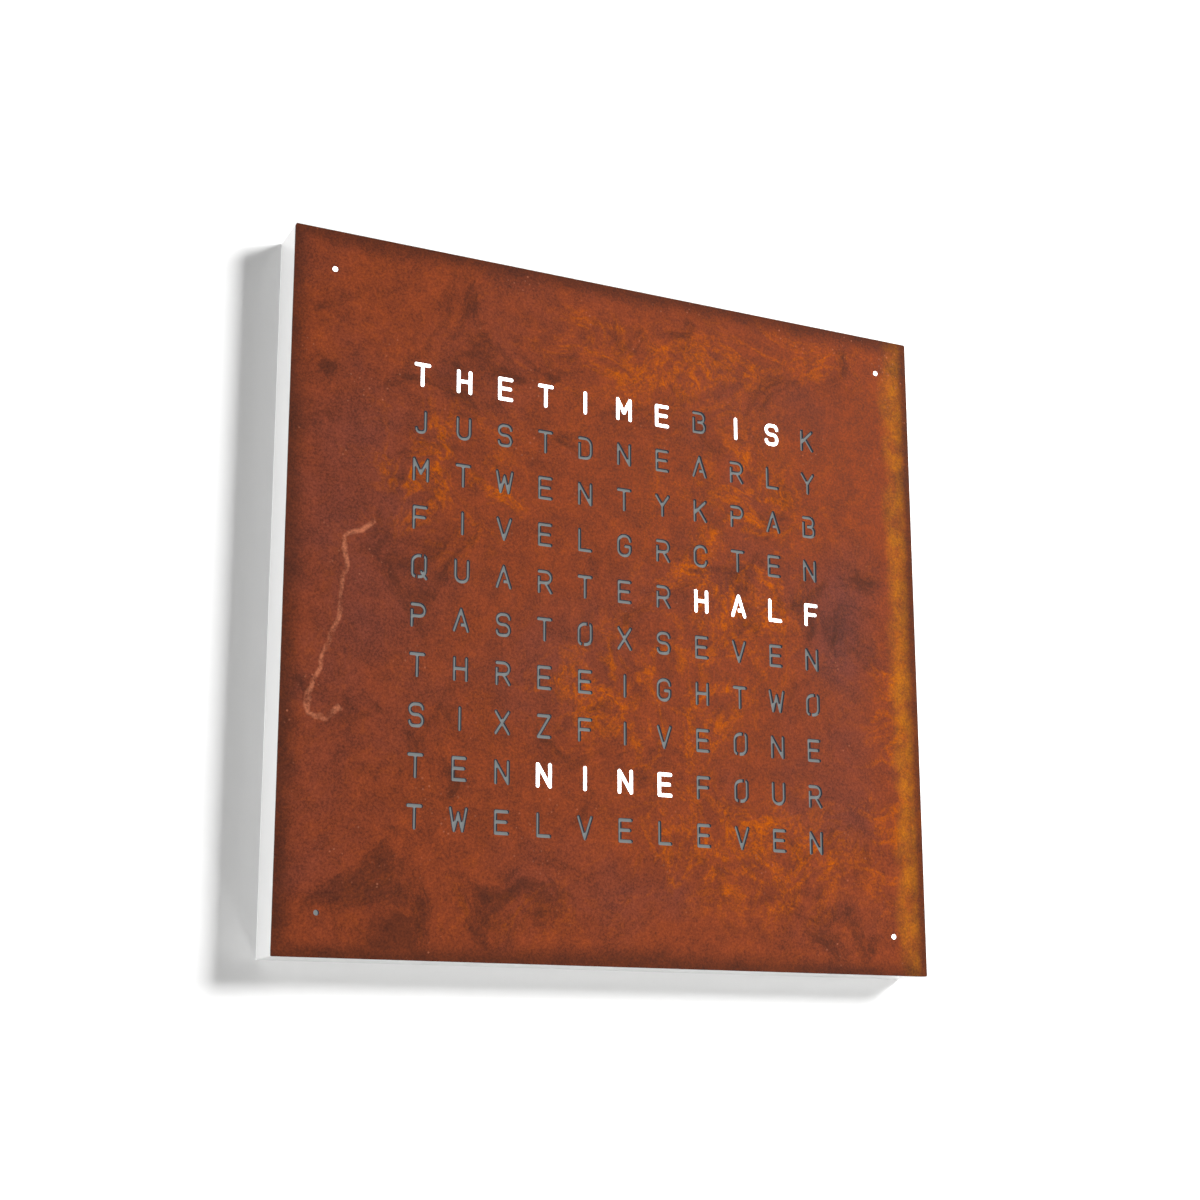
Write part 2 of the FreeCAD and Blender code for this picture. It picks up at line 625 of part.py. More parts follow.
def make_controller():
    """The controller board on its standoffs, with its chips, crystal, cell and capacitors."""
    spots = board_screw_spots()
    half_width = "(board_width / 2)"
    notch = "(jack_width / 2 + jack_gap)"
    notch_top = f"{JACK_TOP} + jack_gap"
    board = Piece("controller_board")
    edge = outline([
        (f"-{half_width}", BOARD_BOTTOM), (f"-{notch}", BOARD_BOTTOM), (f"-{notch}", notch_top),
        (notch, notch_top), (notch, BOARD_BOTTOM), (half_width, BOARD_BOTTOM),
        (half_width, BOARD_TOP), (f"-{half_width}", BOARD_TOP)])
    board.pad(BOARD_BACK, "board_thick",
              [edge] + [eight_sided(SCREW_HOLE, x, z) for x, z in spots])

    standoffs = Piece("controller_standoffs")
    standoffs.pad(BOARD_FRONT, "standoff_height",
                  [shape for x, z in spots
                   for shape in (hexagon("standoff_across", x, z),
                                 eight_sided(SCREW_HOLE, x, z))])

    screws = Piece("controller_screws")
    screws.pad(BOARD_BACK, "board_thick + standoff_height + carrier_thick - screw_pass_gap",
               [eight_sided("screw_diameter", x, z) for x, z in spots])
    screws.pad(f"{BOARD_BACK} - screw_head_height", "screw_head_height",
               [eight_sided("screw_head", x, z) for x, z in spots])

    processor = Piece("microcontroller")
    processor.pad(f"{BOARD_BACK} - processor_height", "processor_height",
                  [rectangle("processor_side", "processor_side", "-processor_shift", BOARD_Z)])

    drivers = Piece("driver_chips")
    drivers.pad(f"{BOARD_BACK} - driver_height", "driver_height",
                [rectangle("driver_width", "driver_depth",
                           f"-processor_shift + {step} * driver_pitch",
                           f"{BOARD_Z} + board_height / 2 - driver_shift / 2")
                 for step in (-1, 0)])

    crystal = Piece("clock_crystal")
    crystal.pad(f"{BOARD_BACK} - crystal_height", "crystal_height",
                [rectangle("crystal_width", "crystal_depth", "-processor_shift",
                           f"{BOARD_Z} - crystal_drop")])

    cell_z = f"{BOARD_Z} + cell_rise"
    holder_height = "cell_height + holder_floor"
    holder = Piece("cell_holder")
    holder_outside = "cell_diameter + 2 * holder_gap + 2 * holder_wall"
    holder.pad(f"{BOARD_BACK} - ({holder_height})", holder_height,
               [rectangle(holder_outside, holder_outside, "cell_shift", cell_z)])
    holder.pocket(f"{BOARD_BACK} - holder_floor", "cell_height",
                  [circle("cell_diameter + 2 * holder_gap", "cell_shift", cell_z)])

    cell = Piece("backup_cell")
    cell.pad(f"{BOARD_BACK} - ({holder_height})", "cell_height",
             [circle("cell_diameter", "cell_shift", cell_z)])

    capacitors = Piece("capacitors")
    capacitors.pad(f"{BOARD_BACK} - capacitor_height", "capacitor_height",
                   [circle("capacitor_diameter", f"cell_shift + {step} * capacitor_pitch",
                           f"{BOARD_Z} - capacitor_drop")
                    for step in (-1, 0)])


def make_cables():
    """The ribbon cable with its two headers, and the lead to the button board."""
    headers = Piece("ribbon_headers")
    headers.pad(HEADER_BACK, f"{CARRIER_FRONT} - {HEADER_BACK}",
                [rectangle("header_width", "header_depth", "0", LAMP_HEADER_Z)])
    headers.pad(HEADER_BACK, "header_standing",
                [rectangle("header_width", "header_depth", "0", BOARD_HEADER_Z)])

    ribbon = Piece("ribbon_cable")
    span = f"{LAMP_HEADER_Z} - {BOARD_HEADER_Z} + header_depth"
    middle = f"({LAMP_HEADER_Z} + {BOARD_HEADER_Z}) / 2"
    ribbon.pad(f"{HEADER_BACK} - ribbon_thick", "ribbon_thick",
               [rectangle("ribbon_width", span, "0", middle)])

    lead = Piece("button_lead")
    before_turn = "button_lead_turn - flat_lead_width"
    below, above = f"{BOARD_Z} - flat_lead_width / 2", f"{BOARD_Z} + flat_lead_width / 2"
    end_below, end_above = f"{BAY_Z} - flat_lead_width / 2", f"{BAY_Z} + flat_lead_width / 2"
    lead.pad(f"{BOARD_BACK} + (board_thick - flat_lead_thick) / 2", "flat_lead_thick",
             [outline([("board_width / 2", below), ("button_lead_turn", below),
                       ("button_lead_turn", end_below), (BUTTON_BOARD_BACK, end_below),
                       (BUTTON_BOARD_BACK, end_above), (before_turn, end_above),
                       (before_turn, above), ("board_width / 2", above)])])


def make_power_inlet():
    """The power socket with its centre pin, and the tray for its plug."""
    jack_z = f"({JACK_TOP} - jack_length / 2)"
    jack_middle = "-(jack_level + jack_height / 2)"
    jack = Piece("power_jack")
    jack.pad("jack_level", "jack_height", [rectangle("jack_width", "jack_length", "0", jack_z)])
    jack.pocket(f"{JACK_BOTTOM} + jack_bore_depth", "jack_bore_depth",
                [circle("jack_bore", "0", jack_middle)], plane="XY_Plane")
    pin = Piece("power_jack_pin")
    pin.pad(f"{JACK_BOTTOM} + tray_wall", "jack_bore_depth - tray_wall",
            [circle("jack_pin", "0", jack_middle)], plane="XY_Plane")

    tray = Piece("plug_tray")
    wide = "tray_width + 2 * tray_wall"
    tall = "tray_length + 2 * tray_wall"
    tray.pad(PANEL_FRONT, "tray_depth + tray_wall", [rectangle(wide, tall, "0", TRAY_Z)])
    tray.pad(PANEL_FRONT, "tray_flange_thick",
             [rectangle(f"{wide} + 2 * tray_flange", f"{tall} + 2 * tray_flange", "0", TRAY_Z)])
    tray.pocket(f"{PANEL_FRONT} + tray_depth", "tray_depth",
                [rectangle("tray_width", "tray_length", "0", TRAY_Z)])
    notch_height = "(2 * tray_wall + tray_flange)"
    tray.pocket(f"{PANEL_FRONT} + tray_depth", "tray_depth",
                [rectangle("jack_width + 2 * jack_gap", notch_height, "0",
                           f"{TRAY_TOP} + {notch_height} / 2 - tray_wall / 2")])


def make_rear_panel():
    """The rear panel with its windows, counterbored screws, keyhole plates and rivets."""
    spots = mirrored_spots(FLANGE_LINE, FLANGE_LINE)
    panel = Piece("rear_panel")
    windows = [rectangle("tray_width", "tray_length", "0", TRAY_Z)]
    rivet_hole = "rivet_diameter + 2 * rivet_gap"
    rivets_of = {}
    for name, side in SIDES.items():
        centre_x = f"{side} * hanger_spacing / 2"
        windows.append(rectangle("hanger_window_width", "hanger_window_height", centre_x,
                                 "hanger_rise"))
        rivets_of[name] = [(f"{centre_x} + {end} * (hanger_width / 2 - rivet_inset)", "hanger_rise")
                           for end in SIDES.values()]
    rivet_spots = rivets_of["left"] + rivets_of["right"]
    holes = [eight_sided(SCREW_HOLE, x, z) for x, z in spots]
    holes += [eight_sided(rivet_hole, x, z) for x, z in rivet_spots]
    panel.pad(PANEL_BACK, "rear_panel_thick",
              [rectangle(FITTED_SHEET, FITTED_SHEET)] + windows + holes)
    sunk = "(screw_head_height + counterbore_gap)"
    panel.pocket(f"{PANEL_BACK} + {sunk}", sunk,
                 [circle("screw_head + 2 * counterbore_gap", x, z) for x, z in spots])

    screws = Piece("rear_panel_screws")
    seat = f"{PANEL_BACK} + {sunk}"
    screws.pad(seat, "screw_length", [eight_sided("screw_diameter", x, z) for x, z in spots])
    screws.pad(f"{seat} - screw_head_height", "screw_head_height",
               [circle("screw_head", x, z) for x, z in spots])

    rivets = Piece("hanger_rivets")
    rivets.pad(PANEL_BACK, "rear_panel_thick + hanger_thick",
               [eight_sided("rivet_diameter", x, z) for x, z in rivet_spots])
    rivets.pad(f"{PANEL_FRONT} + hanger_thick", "rivet_head_height",
               [eight_sided("rivet_head", x, z) for x, z in rivet_spots])

    keyhole_z = "(hanger_rise - keyhole_drop)"
    for name, side in SIDES.items():
        centre_x = f"{side} * hanger_spacing / 2"
        plate = Piece(f"hanger_plate_{name}")
        plate.pad(PANEL_FRONT, "hanger_thick",
                  [rectangle("hanger_width", "hanger_height", centre_x, "hanger_rise")]
                  + [eight_sided(rivet_hole, x, z) for x, z in rivets_of[name]])
        plate_front = f"{PANEL_FRONT} + hanger_thick"
        plate.pocket(plate_front, "hanger_thick", [circle("keyhole_head", centre_x, keyhole_z)])
        plate.pocket(plate_front, "hanger_thick",
                     [rectangle("keyhole_slot", "keyhole_travel", centre_x,
                                f"{keyhole_z} + keyhole_travel / 2")])
        plate.pocket(plate_front, "hanger_thick",
                     [circle("keyhole_slot", centre_x, f"{keyhole_z} + keyhole_travel")])


def make_buttons():
    """Three buttons with their switches, the button board, and the light sensor with its pipe."""
    board = Piece("button_board")
    board_length = "button_bay_length + 2 * groove_depth - 2 * groove_gap"
    board.pad("button_board_level", f"{BAY_FLOOR} - button_board_level",
              [rectangle("button_board_thick", board_length,
                         f"{BUTTON_BOARD_BACK} + button_board_thick / 2", BAY_Z)])

    switches = Piece("tact_switches")
    places = list(BUTTON_PLACES.values())
    switches.pad(BUTTON_BOARD_FRONT, "switch_height",
                 [rectangle("switch_side", "switch_side", f"-{BUTTON_LEVEL}", z) for z in places],
                 plane="YZ_Plane")
    switches.pocket(SWITCH_TOP, "switch_bore_depth",
                    [circle("switch_stem + 2 * switch_stem_gap", f"-{BUTTON_LEVEL}", z)
                     for z in places], plane="YZ_Plane")

    sensor = Piece("light_sensor")
    sensor.pad(BUTTON_BOARD_FRONT, "sensor_height",
               [rectangle("sensor_side", "sensor_side", f"-{BUTTON_LEVEL}", SENSOR_Z)],
               plane="YZ_Plane")
    pipe = Piece("light_pipe")
    pipe.pad(f"{WALL_INSIDE} - pipe_inside", f"{WALL_OUTSIDE} - {WALL_INSIDE} + pipe_inside",
             [circle("pipe_diameter", f"-{BUTTON_LEVEL}", SENSOR_Z)], plane="YZ_Plane")

    shaft = "button_diameter / 2"
    collar = "button_collar / 2"
    tip = f"{WALL_OUTSIDE} + button_proud - {COLLAR_BACK}"
    for name, z in BUTTON_PLACES.items():
        button = Piece(f"button_{name}")
        button.revolve([("0", "0"), ("0", collar), ("button_collar_thick", collar),
                        ("button_collar_thick", shaft), (f"{tip} - button_dome", shaft),
                        (tip, f"{shaft} - button_dome"), (tip, "0")],
                       COLLAR_BACK, BUTTON_LEVEL, z)
        stem = Piece(f"switch_stem_{name}")
        stem.pad(f"{SWITCH_TOP} - switch_stem_inside", "switch_stem_inside + switch_stem_standing",
                 [circle("switch_stem", f"-{BUTTON_LEVEL}", z)], plane="YZ_Plane")


def check_model():
    """Stops if a feature failed, a cut cut nothing, or a piece isn't a valid solid."""
    for item in DOC.Objects:
        if "Invalid" in item.State or "Error" in item.State:
            raise RuntimeError(f"{item.Name} failed: {item.State}")
        if item.TypeId == "PartDesign::Pocket":
            removed = item.BaseFeature.Shape.Volume - item.Shape.Volume
            if removed <= 0:
                raise RuntimeError(f"{item.Name} cuts nothing")
    for body in PIECES:
        if body.Shape.isNull() or not body.Shape.isValid() or not body.Shape.Solids:
            raise RuntimeError(f"{body.Label} isn't a valid solid")


def main():
    """Builds every piece and writes each one to its own file."""
    fill_sheet()
    make_housing()
    make_cover()
    make_light_field()
    make_minute_lights()
    make_carrier()
    make_controller()
    make_cables()
    make_power_inlet()
    make_rear_panel()
    make_buttons()
    DOC.recompute()
    check_model()
    os.makedirs("parts", exist_ok=True)
    for body in PIECES:
        body.Shape.exportStep(f"parts/{body.Label}.step")
        print(body.Label, len(body.Shape.Solids), "solids", round(body.Shape.Volume, 1), "mm3")
    print(len(PIECES), "pieces")


main()
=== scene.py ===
"""A square word clock with a rusted steel front sheet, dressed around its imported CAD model.

Lengths in the dataclasses are in millimetres unless a name says otherwise, and they are turned
into metres when a mesh is made. X is to the right seen from the front, Z is up, the wall is at
y = 0 and the front faces -Y.
"""

from __future__ import annotations

import json
import logging
import math
from dataclasses import dataclass, field
from enum import Enum, IntEnum
from typing import Callable, Iterable, Sequence

import bpy
import numpy as np
from mathutils import Matrix, Vector
from mathutils.geometry import delaunay_2d_cdt

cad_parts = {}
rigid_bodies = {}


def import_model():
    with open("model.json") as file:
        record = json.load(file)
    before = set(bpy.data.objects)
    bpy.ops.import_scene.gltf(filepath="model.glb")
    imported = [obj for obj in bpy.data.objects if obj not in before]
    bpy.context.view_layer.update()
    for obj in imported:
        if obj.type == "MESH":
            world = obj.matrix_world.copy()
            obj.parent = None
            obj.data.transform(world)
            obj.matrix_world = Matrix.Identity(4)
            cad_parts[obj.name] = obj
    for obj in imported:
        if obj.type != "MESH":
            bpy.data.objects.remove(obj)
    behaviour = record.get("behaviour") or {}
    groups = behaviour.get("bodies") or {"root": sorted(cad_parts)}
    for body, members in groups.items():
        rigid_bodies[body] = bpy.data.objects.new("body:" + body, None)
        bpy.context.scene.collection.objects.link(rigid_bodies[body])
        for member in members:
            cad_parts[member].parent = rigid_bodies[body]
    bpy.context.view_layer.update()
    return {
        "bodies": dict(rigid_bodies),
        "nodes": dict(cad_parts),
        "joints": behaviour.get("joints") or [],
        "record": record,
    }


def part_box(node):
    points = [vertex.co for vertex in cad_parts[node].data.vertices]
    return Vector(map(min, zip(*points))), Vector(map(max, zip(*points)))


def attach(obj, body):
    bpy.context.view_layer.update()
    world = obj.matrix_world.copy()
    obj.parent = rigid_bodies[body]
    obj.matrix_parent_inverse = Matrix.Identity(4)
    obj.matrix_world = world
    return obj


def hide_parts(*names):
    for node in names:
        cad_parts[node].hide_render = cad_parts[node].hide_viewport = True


log = logging.getLogger("word_clock")
MM = 0.001
Colour = tuple[float, float, float]
Points = np.ndarray
# Points nearer than this, in millimetres, are one point
SAME_POINT = 1e-4
# How near two crossing cuts may come before they meet, and which triangles are wanted
CUT_TOLERANCE = 1e-5
TRIANGLES_INSIDE = 1


class Cap(Enum):
    """How a cut stroke ends."""

    ROUND = "round"
    FLAT = "flat"


class Light(Enum):
    """Whether a cell of the clock's face is lit."""

    LIT = "lit"
    UNLIT = "unlit"


class SheetSkin(IntEnum):
    """The front sheet's finishes, in the order of its material slots."""

    RUST = 0
    # painted shade: the cut walls of unlit letters, dark whatever the lamps do
    SHADED = 1
    # painted light: the cut walls of lit letters glow like the cells behind them
    LIT = 2
    # painted light: lower right cut walls of unlit letters, as grey as the sheet behind
    PAINTED_GREY = 3


class DiffuserSkin(IntEnum):
    """The diffuser's finishes, in the order of its material slots."""

    # painted shadow: a dark glow over the front, seen only as a thin line at the upper left of each
    # unlit stroke
    PAINTED_SHADOW = 0
    # painted light: the unlit letters' grey, as an even glow that the lamps don't change
    UNLIT = 1
    LIT = 2
    PLAIN = 3


def srgb(red: int, green: int, blue: int) -> Colour:
    """Turns a display colour into a linear one.

    Args:
        red: red from 0 to 255.
        green: green from 0 to 255.
        blue: blue from 0 to 255.

    Returns:
        The linear colour.
    """
    def channel(value: int) -> float:
        """One channel by the display curve: a short straight part, then a power of 2.4."""
        share = value / 255
        return share / 12.92 if share <= 0.04045 else ((share + 0.055) / 1.055) ** 2.4
    return channel(red), channel(green), channel(blue)


@dataclass(frozen=True)
class Stroke:
    """One cut of a letter: a path through corner points, in half widths and half heights.

    Attributes:
        points: corner points, with x and z from -1 to 1.
        bend: radius of the rounded corners in millimetres, 0 for sharp ones.
        start: how the first end is shaped.
        end: how the last end is shaped.
    """

    points: tuple[tuple[float, float], ...]
    bend: float = 0.0
    start: Cap = Cap.ROUND
    end: Cap = Cap.ROUND


def straight(*points: tuple[float, float], start: Cap = Cap.ROUND,
             end: Cap = Cap.ROUND) -> tuple[Stroke, ...]:
    """Straight cuts from point to point.

    Args:
        points: the corner points.
        start: how the first cut begins.
        end: how the last cut ends.

    Returns:
        One stroke for each pair of neighbouring points.
    """
    last = len(points) - 2
    return tuple(Stroke((points[i], points[i + 1]), start=start if i == 0 else Cap.ROUND,
                        end=end if i == last else Cap.ROUND) for i in range(last + 1))


def curved(*points: tuple[float, float], bend: float = 4.2, start: Cap = Cap.ROUND,
           end: Cap = Cap.ROUND) -> tuple[Stroke, ...]:
    """One cut with rounded corners, as a single stroke in a tuple."""
    return (Stroke(points, bend, start, end),)


STEM = straight((-0.88, 1), (-0.88, -1))
LOW_STEM = straight((-0.88, 0.56), (-0.88, -1), start=Cap.FLAT)
BOWL = curved((-0.9, 1), (0.95, 1), (0.95, -0.08), (-0.88, -0.08), bend=3.5)
ROUND_LEFT = curved((0.42, 1), (-0.95, 1), (-0.95, -1), (-0.42, -1), start=Cap.FLAT, end=Cap.FLAT)
ROUND_RIGHT = curved((0.62, 1), (0.95, 1), (0.95, -1), (-0.24, -1), start=Cap.FLAT, end=Cap.FLAT)

# Stencil letters: nothing inside a letter comes loose, because every counter keeps a bridge.
ALPHABET: dict[str, tuple[Stroke, ...]] = {
    "A": straight((-1, -1), (0, 1), (1, -1)) + straight((-0.1, -0.45), (0.72, -0.45),
                                                        start=Cap.FLAT),
    "B": curved((-0.9, 1), (0.85, 1), (0.85, 0.06), (-0.3, 0.06), bend=3.0, end=Cap.FLAT)
    + curved((-0.3, 0.06), (0.95, 0.06), (0.95, -1), (-0.88, -1), bend=3.4, start=Cap.FLAT)
    + LOW_STEM,
    "C": curved((0.95, 0.5), (0.95, 1), (-0.95, 1), (-0.95, -1), (0.95, -1), (0.95, -0.5)),
    "D": curved((-0.9, 1), (0.95, 1), (0.95, -1), (-0.88, -1)) + LOW_STEM,
    "E": STEM + straight((-0.88, 1), (0.9, 1)) + straight((-0.88, 0.04), (0.7, 0.04))
    + straight((-0.88, -1), (0.9, -1)),
    "F": STEM + straight((-0.88, 1), (0.9, 1)) + straight((-0.88, 0.04), (0.7, 0.04)),
    "G": curved((0.95, 0.5), (0.95, 1), (-0.95, 1), (-0.95, -1), (0.95, -1), (0.95, -0.05))
    + straight((0.95, -0.05), (0.2, -0.05)),
    "H": STEM + straight((0.88, 1), (0.88, -1)) + straight((-0.88, 0.04), (0.88, 0.04)),
    "I": straight((0, 1), (0, -1)),
    "J": curved((0.55, 1), (0.55, -1), (-0.75, -1), (-0.75, -0.62), bend=3.6),
    "K": STEM + straight((0.9, 1), (-0.88, -0.2)) + straight((-0.28, 0.24), (0.95, -1)),
    "L": STEM + straight((-0.88, -1), (0.9, -1)),
    "M": straight((-1, -1), (-1, 1), (0, -0.35), (1, 1), (1, -1)),
    "N": straight((-0.92, -1), (-0.92, 1), (0.92, -1), (0.92, 1)),
    "O": ROUND_LEFT + ROUND_RIGHT,
    "P": BOWL + LOW_STEM,
    "Q": ROUND_LEFT + ROUND_RIGHT + straight((0.35, -0.5), (1.05, -1.12)),
    "R": BOWL + LOW_STEM + straight((0.1, -0.08), (0.98, -1)),
    "S": curved((0.92, 0.6), (0.92, 1), (-0.92, 1), (-0.92, 0.03), (0.92, 0.03), (0.92, -1),
                (-0.92, -1), (-0.92, -0.6), bend=3.2),
    "T": straight((-0.95, 1), (0.95, 1)) + straight((0, 1), (0, -1)),
    "U": curved((-0.92, 1), (-0.92, -1), (0.92, -1), (0.92, 1)),
    "V": straight((-0.98, 1), (0, -1), (0.98, 1)),
    "W": straight((-1.15, 1), (-0.6, -1), (0, 0.6), (0.6, -1), (1.15, 1)),
    "X": straight((-0.95, 1), (0.95, -1)) + straight((0.95, 1), (-0.95, -1)),
    "Y": straight((-0.98, 1), (0, 0), (0.98, 1)) + straight((0, 0), (0, -1)),
    "Z": straight((-0.88, 1), (0.88, 1), (-0.88, -1), (0.88, -1)),
}


@dataclass(frozen=True)
class Lettering:
    """The field of letters: generic English words for the time, one letter in each cell.

    Attributes:
        rows: the letters, from the top row to the bottom one.
        lit: for each row with lit letters, the columns that are lit.
        column_pitch: distance between columns.
        row_pitch: distance between rows.
        half_width: from a letter's middle to the middle of its outer strokes.
        half_height: the same upwards.
        stroke: width of a cut.
        arc_steps: points in a quarter turn.
    """

    rows: tuple[str, ...] = (
        "THETIMEBISK", "JUSTDNEARLY", "MTWENTYKPAB", "FIVELGRCTEN", "QUARTERHALF",
        "PASTOXSEVEN", "THREEIGHTWO", "SIXZFIVEONE", "TENNINEFOUR", "TWELVELEVEN",
    )
    lit: tuple[tuple[int, tuple[int, ...]], ...] = (
        (0, (0, 1, 2, 3, 4, 5, 6, 8, 9)), (4, (7, 8, 9, 10)), (8, (3, 4, 5, 6)),
    )
    column_pitch: float = 28.125
    row_pitch: float = 31.05
    half_width: float = 4.5
    half_height: float = 6.7
    stroke: float = 2.3
    arc_steps: int = 5

    def is_lit(self, row: int, column: int) -> bool:
        """Whether the letter in this cell is lit."""
        return column in dict(self.lit).get(row, ())

    def centre(self, row: int, column: int) -> tuple[float, float]:
        """Finds the middle of a cell, with the field centred on the face.

        Args:
            row: the row, 0 at the top.
            column: the column, 0 at the left.

        Returns:
            Its X and its Z.
        """
        x = (column - (len(self.rows[0]) - 1) / 2) * self.column_pitch
        z = ((len(self.rows) - 1) / 2 - row) * self.row_pitch
        return x, z

    def rounded(self, stroke: Stroke) -> Points:
        """Works out a stroke's middle line.

        Each inner corner is replaced by an arc that is tangent to both of its runs. With u and w
        the unit steps into and out of the corner and t the turn between them, the arc starts
        r tan(t / 2) before the corner, and its centre is off the first run by r on the inside.

        Args:
            stroke: the stroke in half widths and half heights.

        Returns:
            Points of the line in millimetres, one row each.
        """
        corners = np.array(stroke.points) * (self.half_width, self.half_height)
        if stroke.bend == 0 or len(corners) < 3:
            return corners
        lengths = np.linalg.norm(np.diff(corners, axis=0), axis=1)
        line = [corners[:1]]
        for i in range(1, len(corners) - 1):
            into = (corners[i] - corners[i - 1]) / lengths[i - 1]
            out = (corners[i + 1] - corners[i]) / lengths[i]
            turn = math.acos(float(np.clip(into @ out, -1, 1)))
            room_before = lengths[i - 1] * (1.0 if i == 1 else 0.5)
            room_after = lengths[i] * (1.0 if i == len(corners) - 2 else 0.5)
            reach = min(stroke.bend * math.tan(turn / 2), room_before, room_after)
            radius = reach / math.tan(turn / 2)
            inward = (out - into) / np.linalg.norm(out - into)
            centre = corners[i] + inward * radius / math.cos(turn / 2)
            first = corners[i] - into * reach - centre
            last = corners[i] + out * reach - centre
            share = np.linspace(0, 1, self.arc_steps + 1)[:, None]
            arc = (np.sin((1 - share) * turn) * first + np.sin(share * turn) * last)
            line.append(centre + arc / math.sin(turn))
        line.append(corners[-1:])
        points = np.vstack(line)
        apart = np.r_[True, np.linalg.norm(np.diff(points, axis=0), axis=1) > SAME_POINT]
        return points[apart]

    def widened(self, line: Points, start: Cap, end: Cap) -> Points:
        """Gives a middle line its width.

        Each point moves half a stroke to either side along the mean normal of its two runs,
        lengthened by one over the cosine of half the turn, and a round end adds a half circle.

        Args:
            line: the middle line.
            start: how the first end is shaped.
            end: how the last end is shaped.

        Returns:
            The closed outline, anticlockwise seen from the front.
        """
        half = self.stroke / 2
        steps = np.diff(line, axis=0)
        steps /= np.linalg.norm(steps, axis=1)[:, None]
        normals = np.stack([-steps[:, 1], steps[:, 0]], axis=1)
        before = np.vstack([normals[:1], normals])
        after = np.vstack([normals, normals[-1:]])
        mean = before + after
        mean /= np.linalg.norm(mean, axis=1)[:, None]
        mean *= half / np.sum(mean * before, axis=1)[:, None]
        left, right = line + mean, line - mean
        angle = np.linspace(0, math.pi, 2 * self.arc_steps + 1)[1:-1, None]

        def cap(centre: Points, normal: Points, step: Points) -> Points:
            """A half circle from one side round the end to the other."""
            return centre + half * (np.cos(angle) * normal + np.sin(angle) * step)

        rim = [right]
        if end is Cap.ROUND:
            rim.append(cap(line[-1], -normals[-1], steps[-1]))
        rim.append(left[::-1])
        if start is Cap.ROUND:
            rim.append(cap(line[0], normals[0], -steps[0]))
        return np.vstack(rim)

    def outlines(self) -> list[tuple[Points, Light]]:
        """Works out every cut's outline in place.

        Returns:
            Each outline with whether it is lit.
        """
        found = []
        for row, letters in enumerate(self.rows):
            for column, letter in enumerate(letters):
                centre = np.array(self.centre(row, column))
                light = Light.LIT if self.is_lit(row, column) else Light.UNLIT
                for stroke in ALPHABET[letter]:
                    line = self.rounded(stroke)
                    found.append((self.widened(line, stroke.start, stroke.end) + centre, light))
        return found


@dataclass(frozen=True)
class MinuteLights:
    """The four round holes that count single minutes.

    Attributes:
        reach: from the face's middle to a hole, along X and along Z.
        diameter: a hole's diameter.
        segments: sides of a hole.
        lit: for each corner's sides, whether it is lit.
    """

    reach: float = 199.3
    diameter: float = 3.4
    segments: int = 32
    lit: tuple[tuple[tuple[int, int], Light], ...] = (
        ((-1, 1), Light.LIT), ((1, 1), Light.LIT), ((1, -1), Light.LIT), ((-1, -1), Light.UNLIT),
    )

    def outlines(self) -> list[tuple[Points, Light]]:
        """Works out each hole as a circle of points in place.

        Returns:
            Each outline with whether it is lit.
        """
        angle = np.arange(self.segments) * 2 * math.pi / self.segments
        circle = np.stack([np.cos(angle), np.sin(angle)], axis=1) * self.diameter / 2
        return [(circle + np.array(corner) * self.reach, light) for corner, light in self.lit]


def new_mesh(name: str, points: Points, faces: Sequence[Sequence[int]]) -> bpy.types.Object:
    """Makes an object at the origin from points in metres.

    Args:
        name: the object's and the mesh's name.
        points: one row for each point.
        faces: corner numbers of each face.

    Returns:
        The new object, in the scene's collection.
    """
    mesh = bpy.data.meshes.new(name)
    mesh.from_pydata(points.tolist(), [], [list(map(int, face)) for face in faces])
    mesh.validate()
    thing = bpy.data.objects.new(name, mesh)
    bpy.context.scene.collection.objects.link(thing)
    return thing


def cut_plane(loops: list[Points]) -> tuple[Points, Points, list[list[int]]]:
    """Parts the area of the first outline along all the others.

    All outlines go into one constrained triangulation. Each triangle is turned so that its normal
    faces the front, which is anticlockwise seen from there.

    Args:
        loops: closed outlines, the first one round all of them.

    Returns:
        The points, the triangles, and for each triangle the numbers of the outlines over it.
    """
    starts = np.cumsum([0] + [len(loop) for loop in loops])
    faces = [list(range(starts[i], starts[i + 1])) for i in range(len(loops))]
    corners = [Vector(point) for point in np.vstack(loops)]
    flat, _, parts, _, _, owners = delaunay_2d_cdt(corners, [], faces, TRIANGLES_INSIDE,
                                                   CUT_TOLERANCE, True)
    places, parts = np.array([tuple(point) for point in flat]), np.array(parts)
    first = places[parts[:, 1]] - places[parts[:, 0]]
    second = places[parts[:, 2]] - places[parts[:, 0]]
    backwards = first[:, 0] * second[:, 1] - first[:, 1] * second[:, 0] < 0
    parts[backwards] = parts[backwards][:, ::-1]
    return places, parts, [list(owned) for owned in owners]


def border_edges(parts: Points, count: int) -> Points:
    """The edges that a single triangle has.

    Args:
        parts: the triangles.
        count: how many points there are.

    Returns:
        The two points of each edge, in the order in which its triangle goes round.
    """
    edges = np.concatenate([parts[:, [0, 1]], parts[:, [1, 2]], parts[:, [2, 0]]])
    keys = np.sort(edges, axis=1) @ np.array([count, 1])
    _, inverse, times = np.unique(keys, return_inverse=True, return_counts=True)
    return edges[times[inverse] == 1]


def border_walls(parts: Points, count: int) -> Points:
    """Works out the walls that join the border of the front to the back.

    Args:
        parts: the triangles of the front.
        count: how many points the front has; the back's points follow in the same order.

    Returns:
        The four points of each wall.
    """
    border = border_edges(parts, count)
    return np.stack([border[:, 1], border[:, 0], border[:, 0] + count, border[:, 1] + count],
                    axis=1)


